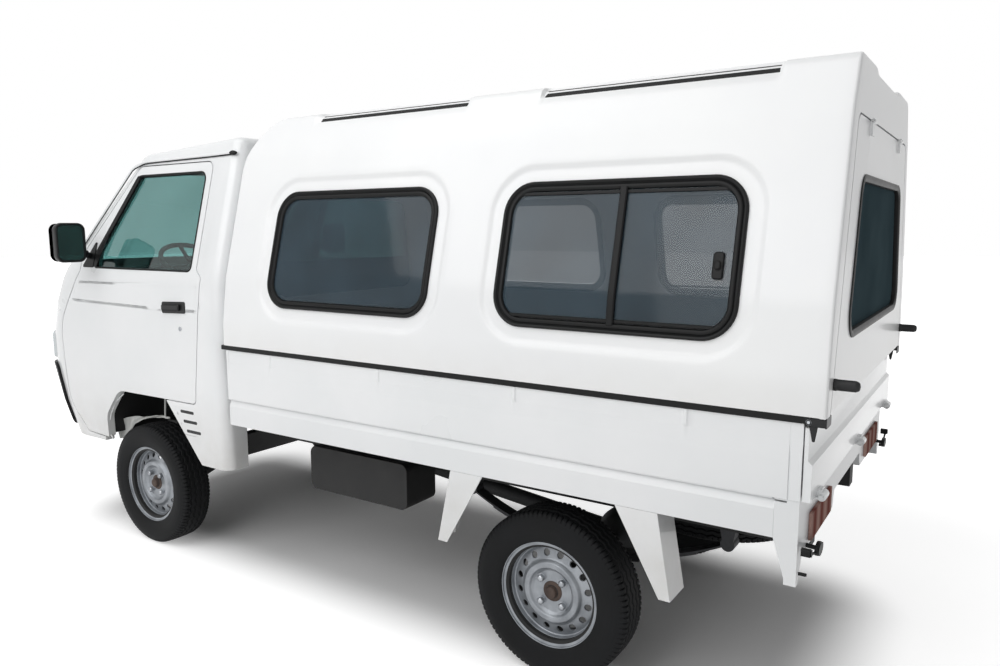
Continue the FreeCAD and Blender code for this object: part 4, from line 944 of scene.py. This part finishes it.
def mirror_glass_part():
    rows = [(0, -6.5), (0, -5.5), (-1.5, -4.3)]
    return plate(box(748, 858, 1285, 1438, 24), rows, flat_place(MIRROR_Y), 60, 8)


COLUMN_TOP = np.array([300, -1118.3, 1249.978])
COLUMN_UP = np.array([0, 0.530024, 0.847983])
RIM_RADIUS, RIM_THICK = 173, 11.5


def steering_parts():
    """Round rim, three spokes that drop to the hub, the hub's pad and the column down to the floor."""
    across, over = np.array([1, 0, 0]), np.cross(COLUMN_UP, (1, 0, 0))
    turn = full_turn(96)[:, None]
    out = np.cos(turn) * across + np.sin(turn) * over
    ring = COLUMN_TOP + RIM_RADIUS * out
    small = full_turn(14)[None, :, None]
    rim = ring[:, None] + RIM_THICK * (np.cos(small) * out[:, None] + np.sin(small) * COLUMN_UP)
    parts = [grid(rim, closed_u=True, closed_v=True)]
    for a in (0, math.pi, 1.5 * math.pi):
        tip = COLUMN_TOP + 166 * (math.cos(a) * across + math.sin(a) * over)
        root = COLUMN_TOP - COLUMN_UP * 24
        t = np.linspace(0, 1, 9)[:, None]
        parts.append(tube(root + (tip - root) * t - COLUMN_UP * 9 * np.sin(math.pi * t), 10, 10, 0.7))
    hub = soft_path([(-44, 20, 0), (-44, 50, 8), (-20, 52, 8), (-10, 40, 10), (-8, 0.3, 0)], 6)
    parts.append(round_about(hub, 40, COLUMN_TOP, COLUMN_UP))
    parts.append(round_about(np.array([(-900, 0.3), (-900, 17), (-40, 17)]), 24, COLUMN_TOP, COLUMN_UP))
    return parts


def round_about(profile, steps, centre, axis):
    """Profile of (along, radius) pairs turned about an axis through centre that lies across X."""
    side = unit(np.cross(axis, (1, 0, 0)))
    other = np.cross(axis, side)
    angle = full_turn(steps)[:, None, None]
    ring = np.cos(angle) * side + np.sin(angle) * other
    along, radius = profile[None, :, 0, None], profile[None, :, 1, None]
    return grid(np.asarray(centre) + along * np.asarray(axis) + radius * ring, closed_u=True)


# Seats

# Cushion and back: centre, half sizes and lean in degrees
SEAT_PADS = (((0, -862, 780), (232, 178, 50), 3),
             ((0, -606, 1040), (224, 46, 182), 9))
SEAT_X = 300
CHANNEL_DEPTH = 5


def pad_form(centre, half, lean):
    """Closed crowned pad: a sphere carried to a rounded box by raising each cosine to a small power."""
    up = np.linspace(-math.pi / 2, math.pi / 2, 40)[:, None]
    around = full_turn(80)[None]

    def soft(value, power):
        return np.sign(value) * np.abs(value) ** power

    wide = soft(np.cos(up), 0.4)
    x, y, z = (half[0] * wide * soft(np.cos(around), 0.32), half[1] * wide * soft(np.sin(around), 0.32),
               half[2] * (soft(np.sin(up), 0.4) + 0 * around))
    c, s = math.cos(math.radians(lean)), math.sin(math.radians(lean))
    return grid(np.stack([x, y * c + z * s, z * c - y * s], axis=-1) + np.array(centre), closed_v=True)


def puffed(pad, reach_mm):
    """Remeshes the pad and lets cloth under pressure swell it, no point going further than the reach."""
    remesh = pad.modifiers.new("even_mesh", "REMESH")
    remesh.mode = "VOXEL"
    remesh.voxel_size = 0.011
    settle(pad)
    start = vertex_places(pad.data)
    cloth = pad.modifiers.new("filling", "CLOTH")
    cloth.settings.use_pressure = True
    cloth.settings.uniform_pressure_force = 4
    cloth.settings.effector_weights.gravity = 0
    cloth.settings.quality = 4
    scene = bpy.context.scene
    for step in range(1, 19):
        scene.frame_set(step)
    settle(pad)
    moved = vertex_places(pad.data) - start
    length = np.linalg.norm(moved, axis=1, keepdims=True)
    moved *= np.minimum(1, reach_mm * MM / np.maximum(length, 1e-9))
    write_places(pad.data, start + moved)
    scene.frame_set(1)


def settle(pad):
    """Applies what the modifiers have made of the pad."""
    made = bpy.data.meshes.new_from_object(pad.evaluated_get(bpy.context.evaluated_depsgraph_get()))
    pad.modifiers.clear()
    pad.data = made


def vertex_places(mesh):
    places = np.empty(len(mesh.vertices) * 3)
    mesh.vertices.foreach_get("co", places)
    return places.reshape(-1, 3)


def write_places(mesh, places):
    mesh.vertices.foreach_set("co", places.ravel())


def smoothed(pad):
    """One level of subdivision on a padded piece."""
    finer = pad.modifiers.new("finer", "SUBSURF")
    finer.levels = finer.render_levels = 1


def seat_pads():
    """One simulated cushion and one back, each with sewn channels, copied to the other seat."""
    for (centre, half, lean), name in zip(SEAT_PADS, ("cushion", "back")):
        pad = piece("seat_" + name + "_left", [pad_form(centre, half, lean)], seat_cloth, "chassis",
                    ("seats",), sharp=180)
        puffed(pad, 12)
        places = vertex_places(pad.data)
        channel = np.abs(((places[:, 0] / MM + 3000) % 78) - 39)
        inner = (1 - smooth(150, 165, np.abs(places[:, 0] / MM))) * (1 - smooth(2, 9, channel))
        axis, way = (2, -1) if name == "cushion" else (1, 1)
        faces_sitter = smooth(0.2, 0.8, (places[:, axis] / MM - centre[axis]) * -way / half[axis])
        places[:, axis] += way * CHANNEL_DEPTH * MM * inner * faces_sitter
        places[:, 0] += SEAT_X * MM
        write_places(pad.data, places)
        pad.data.update()
        pad.data.shade_smooth()
        if not pad.data.materials:
            pad.data.materials.append(seat_cloth)
        smoothed(pad)
        twin_mesh = pad.data.copy()
        places[:, 0] -= 2 * SEAT_X * MM
        write_places(twin_mesh, places)
        smoothed(taken_up(linked("seat_" + name + "_right", twin_mesh), "chassis", ("seats",)))


# Rear fittings


def side_place(x):
    """Place function for outlines of (y, z) pairs on an upright face along the vehicle at x."""
    return lambda a, b, height: np.stack([x + height + 0 * a, a, b], axis=-1)


# Ends of the gate and of the corner post behind it, and the places of the gate's ribs
GATE_ENDS, POST_ENDS = (-423, 1711), (1714, 1742)
GATE_RIBS = (-176, 368, 913, 1446)
GATE_FACE = 696.4
# Half a gate's outer skin from its foot to its top: the upper band lies back behind a soft crease
GATE_SECTION = [(694, 750, 0), (698.8, 752, 1), (699, 862, 5), (695.3, 902, 22), (695.3, 947, 0)]


def gate_skin(front, back, ribs):
    """Skin of a side gate or post: its section carried along y, with its ends turned in and short ribs raised
    below the canopy's seal, each a bump across y that fades out downwards."""
    section = soft_path(GATE_SECTION, 7)
    tail = np.linspace(section[-2], section[-1], 9)[1:]
    section = np.vstack([section[:-1], tail])
    y = spaced(front, back, 80, 2.5, [(r - 11, r + 11) for r in ribs] + [(front, front + 14)])[:, None]
    x, z = section[None, :, 0] + 0 * y, section[None, :, 1] + 0 * y
    for rib in ribs:
        x = x + 3.6 * (1 - smooth(4, 8, np.abs(y - rib))) * smooth(896, 908, z)
    if ribs:
        x = x + np.clip(699 - x, 0, 3.7) * (1 - smooth(front + 8, front + 14, y)) * (z > 860)
    rows = np.stack([x, y + 0 * x, z], axis=-1)
    shut = [rows[0] - (4.5, 0, 0), rows[0] - (0.8, 0, 0), rows[0] + (0, 0.8, 0)]
    ends = [rows[-1] - (0, 0.8, 0), rows[-1] - (0.8, 0, 0), rows[-1] - (4.5, 0, 0)]
    return grid(np.concatenate([shut, rows[1:-1], ends]))


def clamp_parts():
    """Clamp that ties the canopy to the gate's corner: a plate under the seal and a tapered hook."""
    hook = [(1762, 906, 2), (1768, 906, 2), (1774, 944, 3), (1754, 944, 3)]
    return [plate(box(1743, 1792, 943, 964, 3), [(0, 0.3), (0, 2.4), (-1, 3.2)], side_place(696.6)),
            plate(hook, [(0, 0.3), (0, 2.2), (-1, 3)], side_place(GATE_FACE), samples=4),
            plate(box(640, 696, 940, 966, 4), [(0, 0.3), (0, 3), (-1, 4)], flat_place(1789), samples=4)]


def clamp_bolt_part():
    """Washer and domed head of the clamp's bolt."""
    return slab(oval((1752, 953), 7, 20), [(0, 2.8), (0, 3.4), (-3, 3.5)], side_place(GATE_FACE))


def lever_part():
    """Hatch lever seen end on: a rounded grip that stands back from its flange, flattened across."""
    profile = soft_path([(0.3, 0.3, 0), (0.3, 15, 0), (6, 15, 2), (9, 14, 2), (50, 14, 8), (59, 10, 7),
                         (60.5, 0.3, 0)], 5)
    points, quads = round_about(profile, 28, (0, 0, 0), (0, 1, 0))
    return points * (0.7, 1, 1) + (640, 1793.5, 1040), quads


def corner_rubber_parts():
    """Rubber stop and oval pad on the apron's corner, the bars between them and the wedge under the leg."""
    wedge = [(682, 560, 2), (694, 562, 2), (694, 572, 2), (682, 567, 2)]
    return [plate(box(678, 694, 612, 632, 4), [(0, -14), (0, 8), (-3, 11)], flat_place(1762)),
            slab(oval((592, 602), (30, 17), 40), [(0, -2), (0, 6), (-3, 9)], flat_place(1768)),
            tube(np.linspace((592, 1738, 604), (592, 1768, 602), 6), 6, 10),
            tube(np.linspace((684, 1764, 613), (596, 1768, 594), 8), 3.5, 10),
            plate(wedge, [(0, -16), (0, 1), (-2, 3)], flat_place(1760), samples=4)]


# Louvre slots as front end, rear end and height
LOUVRES = ((-753, -663, 659), (-737, -645, 618), (-720, -625, 577))


def louvre_panel_part():
    """Flush panel over the louvre slots, which carries the black pills of painted shade."""
    panel = [(-734, 560, 4), (-612, 560, 4), (-612, 680, 4), (-784, 680, 4)]
    return plate(panel, [(0, -8), (0, 0.1), (-1, 0.3)], cab_place, 40)


def louvre_painted_shade_parts():
    """Black pills in the cab's louvre slots, long with round ends and just proud of the panel: painted shade for
    the dark inside the slots.
    """
    return [plate(box(a, b, z - 6.5, z + 6.5, 6), [(0, -10), (0, 0.3), (-0.6, 0.7)], cab_place, samples=7)
            for a, b, z in LOUVRES]


# Splash sheet ahead of the front tyre: x, y and height of its top edge, and of its foot
SPLASH = [(603, -1380, 500, 428), (601, -1352, 524, 430), (598, -1313, 537, 455), (592, -1260, 549, 513),
          (584, -1205, 552, 539), (578, -1165, 558, 549), (572, -1120, 567, 555), (568, -1087, 571, 559),
          (564, -1029, 569, 559)]


def splash_parts():
    """Thin crumpled sheet: its edges follow the points above, and waves across it fade towards them."""
    t = np.linspace(0, len(SPLASH) - 1, 49)
    x, y, top, foot = read_at(t, np.arange(len(SPLASH)), SPLASH)
    t, v = t[:, None], np.linspace(0, 1, 6)
    z = top[:, None] + (foot - top)[:, None] * v
    wave = 7 * np.sin(t * 2.3 + 3 * v) * np.sin(math.pi * v) + 3 * np.sin(t * 5.1)
    face = np.stack([x[:, None] + wave, y[:, None] + 0.4 * wave, z], axis=-1)
    rows = np.concatenate([face, (face - (2.5, -1, 0))[:, ::-1]], axis=1)
    middle = rows.mean(axis=1, keepdims=True)
    ends = middle + (rows - middle) * 0.01
    hangers = [tube(np.linspace((x, y, low), (x - 10, y, 705), 5), 4, 8)
               for x, y, low in ((600, -1345, 515), (566, -1060, 562))]
    return [grid(np.concatenate([ends[:1], rows, ends[-1:]]), closed_v=True)] + hangers


# Front edge of the wheel arch as y and z
ARCH_LIP = [(-1205, 676), (-1268, 634), (-1314, 574), (-1334, 521), (-1335, 475), (-1314, 449)]


def arch_lip_part():
    """Pale inner flange that runs just inside the front edge of the wheel arch."""
    y, z = read_at(np.linspace(0, len(ARCH_LIP) - 1, 30), np.arange(len(ARCH_LIP)), ARCH_LIP)
    return tube(np.stack([672 + 0 * y, y, z], axis=-1), 3, 8)


def hatch_trim_part():
    """Black rubber round the hatch's window."""
    corners = [(-486.5, 1137.5, 60), (486.5, 1137.5, 60), (384.3, 1546.8, 60), (-384.3, 1546.8, 60)]
    return band(rounded_outline(corners, 60, 10), PANE_TRIM_PROFILE, flat_place(CANOPY_REAR))


SPARE_Y, SPARE_Z, SPARE_SQUEEZE = 1340, 464.5, 52 / 71.5


def spare_parts():
    """The spare's tyre and rim, turned to lie flat and squeezed to the spare's width."""
    middle = (0, 0, 0), 1
    laid = []
    for points, quads in tyre_parts(*middle) + rim_parts(*middle) + rim_back_parts(*middle):
        x, y, z = points.T
        laid.append((np.stack([z, y + SPARE_Y, SPARE_Z - x * SPARE_SQUEEZE], axis=-1), quads))
    return laid


# CAD forms that stay

# Edges sharper than this stay sharp, and are softened
EDGE_DEGREES = 32


def dressed(node, edge_mm, material):
    """The node's own form, welded, with softened edges and smooth shading."""
    mesh = frame["nodes"][node].data.copy()
    form = bmesh.new()
    form.from_mesh(mesh)
    bmesh.ops.remove_doubles(form, verts=form.verts, dist=0.01 * MM)
    bmesh.ops.dissolve_limit(form, angle_limit=math.radians(0.5), verts=form.verts, edges=form.edges)
    form.to_mesh(mesh)
    form.free()
    shaded(mesh, material, EDGE_DEGREES)
    made = linked("look_" + node, mesh)
    if edge_mm:
        bevel = made.modifiers.new("edges", "BEVEL")
        bevel.width = edge_mm * MM
        bevel.segments = 2
        bevel.limit_method = "ANGLE"
        bevel.angle_limit = math.radians(EDGE_DEGREES)
        bevel.harden_normals = True
    taken_up(made, body_of[node], (node,))


# Light, in metres and watts

FLOOR_REACH = 40
FLOOR_GLOW = 0.66
# Half the size of the ground under the truck, round which the floor's glow fades out as painted shadow
FOOTPRINT = (0.35, 1.5, 0)
# Share of the surroundings' white that lights the truck
WORLD_LIGHT = 0.29
# Name, place, size and power
LAMPS = (("top_softbox", (3.2, -0.5, 4.4), 4.5, 126), ("side_softbox", (6, 1, 2.6), 4, 52))
LAMP_AIM = Vector((0, 0.2, 0.9))
WHITE = (1, 1, 1, 1)


def seen_directly(tree):
    """1 for rays from the camera, and for those that gloss or glass sends on, else 0."""
    path = add_node(tree, "ShaderNodeLightPath")
    seen = path.outputs["Is Camera Ray"]
    for name in ("Is Glossy Ray", "Is Transmission Ray"):
        seen = computed(tree, "MAXIMUM", seen, path.outputs[name])
    return seen


def away_from_truck(tree):
    """Distance on the floor from the ground under the truck."""
    place = object_place(tree)
    for operation, value in (("ABSOLUTE", None), ("SUBTRACT", FOOTPRINT), ("MAXIMUM", (0, 0, 0))):
        place = add_node(tree, "ShaderNodeVectorMath", {0: place} if value is None else {0: place, 1: value},
                         operation=operation).outputs["Vector"]
    return add_node(tree, "ShaderNodeVectorMath", {0: place}, operation="LENGTH").outputs["Value"]


def studio():
    """Pale floor, lit by the lamps alone under the truck; its own glow rises outwards from there to pure white,
    which paints a soft shadow round the truck. White surroundings and soft lamps.
    """
    mesh = bpy.data.meshes.new("floor")
    corners = [(FLOOR_REACH * x, FLOOR_REACH * y, 0) for x, y in ((-1, -1), (1, -1), (1, 1), (-1, 1))]
    mesh.from_pydata(corners, [], [(0, 1, 2, 3)])
    floor = linked("floor", mesh)
    material, tree = new_material("pale_floor_with_painted_shadow")
    colour = mottled(tree, "#f2f2f2", "#f6f6f6", 900)[1]
    matt = add_node(tree, "ShaderNodeBsdfPrincipled", {"Base Color": colour, "Roughness": 0.9})
    away = away_from_truck(tree)
    # No glow within 5 cm of the footprint, FLOOR_GLOW at 45 cm out: painted soft shadow
    near = mapped(tree, away, 0, FLOOR_GLOW, 0.05, 0.45, "SMOOTHSTEP")
    far = mapped(tree, away, 0, 1 - FLOOR_GLOW, 1, 3, "SMOOTHSTEP")
    glow = computed(tree, "MULTIPLY", computed(tree, "ADD", near, far), seen_directly(tree))
    white = add_node(tree, "ShaderNodeEmission", {"Color": WHITE, "Strength": glow})
    sum_of = add_node(tree, "ShaderNodeAddShader", {0: matt.outputs[0], 1: white.outputs[0]})
    add_node(tree, "ShaderNodeOutputMaterial", {"Surface": sum_of.outputs[0]})
    mesh.materials.append(material)
    world = bpy.data.worlds.new("surroundings")
    bpy.context.scene.world = world
    world.use_nodes = True
    tree = world.node_tree
    tree.nodes.clear()
    strength = mapped(tree, seen_directly(tree), WORLD_LIGHT, 1)
    light = add_node(tree, "ShaderNodeBackground", {"Color": WHITE, "Strength": strength})
    add_node(tree, "ShaderNodeOutputWorld", {"Surface": light.outputs[0]})
    for name, place, size, power in LAMPS:
        lamp = bpy.data.lights.new(name, "AREA")
        lamp.shape = "SQUARE"
        lamp.size = size
        lamp.energy = power
        holder = linked(name, lamp)
        holder.location = place
        holder.rotation_euler = (LAMP_AIM - Vector(place)).to_track_quat("-Z", "Y").to_euler()


place_camera()
studio()

piece("canopy_moulding", halves([canopy_half(0, 24, 7.5), canopy_half(SHELL_THICK, 60, 22)]),
      canopy_white, "chassis", ("canopy_shell",), sharp=42, outward=False)
piece("canopy_window_rubbers", halves(canopy_frame_parts()), black_rubber, "chassis", ("canopy_frames",))
piece("hatch_window_rubber", [hatch_trim_part()], black_rubber, "hatch")
piece("spare_tyre_and_rim", spare_parts(), tyre_rubber, "chassis", ("spare_wheel",))
piece("steering_wheel_and_column", steering_parts(), black_plastic, "steering_wheel", ("steering_wheel",))
for name, parts, material, body, *nodes in (
        ("hatch_levers", [lever_part()], black_plastic, "hatch", "hatch_handles"),
        ("corner_rubbers", corner_rubber_parts(), black_rubber, "chassis"),
        ("louvre_panels", [louvre_panel_part()], enamel, "chassis"),
        ("louvre_slots", louvre_painted_shade_parts(), black_plastic, "chassis"),
        ("splash_sheets", splash_parts(), splash_grey, "chassis"),
        ("arch_lips", [arch_lip_part()], enamel, "chassis"),
        ("clamp_bolts", [clamp_bolt_part()], nut_zinc, "chassis"),
        ("canopy_clamps", clamp_parts(), black_plastic, "chassis")):
    piece(name, both(parts), material, body, nodes)
for name, (x, y, side) in WHEELS.items():
    at, body = ((x, y, AXLE_Z), side), "wheel_" + name
    piece("tread_and_walls_" + name, tyre_parts(*at), tyre_rubber, body, ("tyre_" + name,), sharp=35)
    piece("pressed_wheel_" + name, rim_parts(*at), wheel_silver, body, ("rim_" + name,))
    piece("pressed_wheel_back_" + name, rim_back_parts(*at), wheel_dust_and_painted_shade, body, ("rim_" + name,))
    piece("grease_cap_" + name, hub_parts(*at), hub_rust, body)
    piece("wheel_nuts_" + name, nut_parts(*at), nut_zinc, body)
for hand, turn in (("left", lambda part: part), ("right", other_side)):
    door = "door_" + hand
    for name, parts, material, body, *nodes in (
            ("gate_panel", [gate_skin(*GATE_ENDS, GATE_RIBS)], enamel, "chassis"),
            ("corner_post_panel", [gate_skin(*POST_ENDS, ())], enamel, "chassis"),
            ("door_trim", door_trim_parts(), black_rubber, door),
            ("door_pull", door_handle_parts(), black_plastic, door),
            ("door_lock", [key_lock_part()], nut_zinc, door),
            ("mirror_housing", mirror_parts(), black_plastic, door, door + "_mirror"),
            ("mirror_glass", [mirror_glass_part()], mirror_glass, door),
            ("drip_rail", [drip_rail_part(0, 5)], enamel, "chassis"),
            # A thin black strip just below the gutter paints its shadow line; the cap on the gutter's end is its
            # own black part
            ("drip_rail_seal", [drip_rail_part(-7.5, 2.2), rail_cap_part()], black_rubber, "chassis"),
            ("door_swage", [door_swage_part()], enamel, door)):
        piece(name + "_" + hand, [turn(part) for part in parts], material, body, nodes)
seat_pads()

made_here = {"canopy_shell", "canopy_frames", "spare_wheel", "steering_wheel", "seats", "door_left_mirror",
             "door_right_mirror", "hatch_handles"}
made_here |= {part + name for name in WHEELS for part in ("tyre_", "rim_")}
# The cab floor is black all over, and the bed floor and apron go near black where they face down: painted shade
# under the body
OWN_MATERIAL = {"hatch_glass": hatch_film, "cab_floor": frame_black, "bed_floor": enamel_painted_shade_below,
                "rear_apron": enamel_painted_shade_below}
for name in frame["nodes"]:
    if name not in made_here:
        slot = slot_of[name]
        dressed(name, 0 if "glass" in slot else 1.5, OWN_MATERIAL.get(name, SLOT_MATERIAL[slot]))

bpy.context.scene.view_settings.view_transform = "Standard"
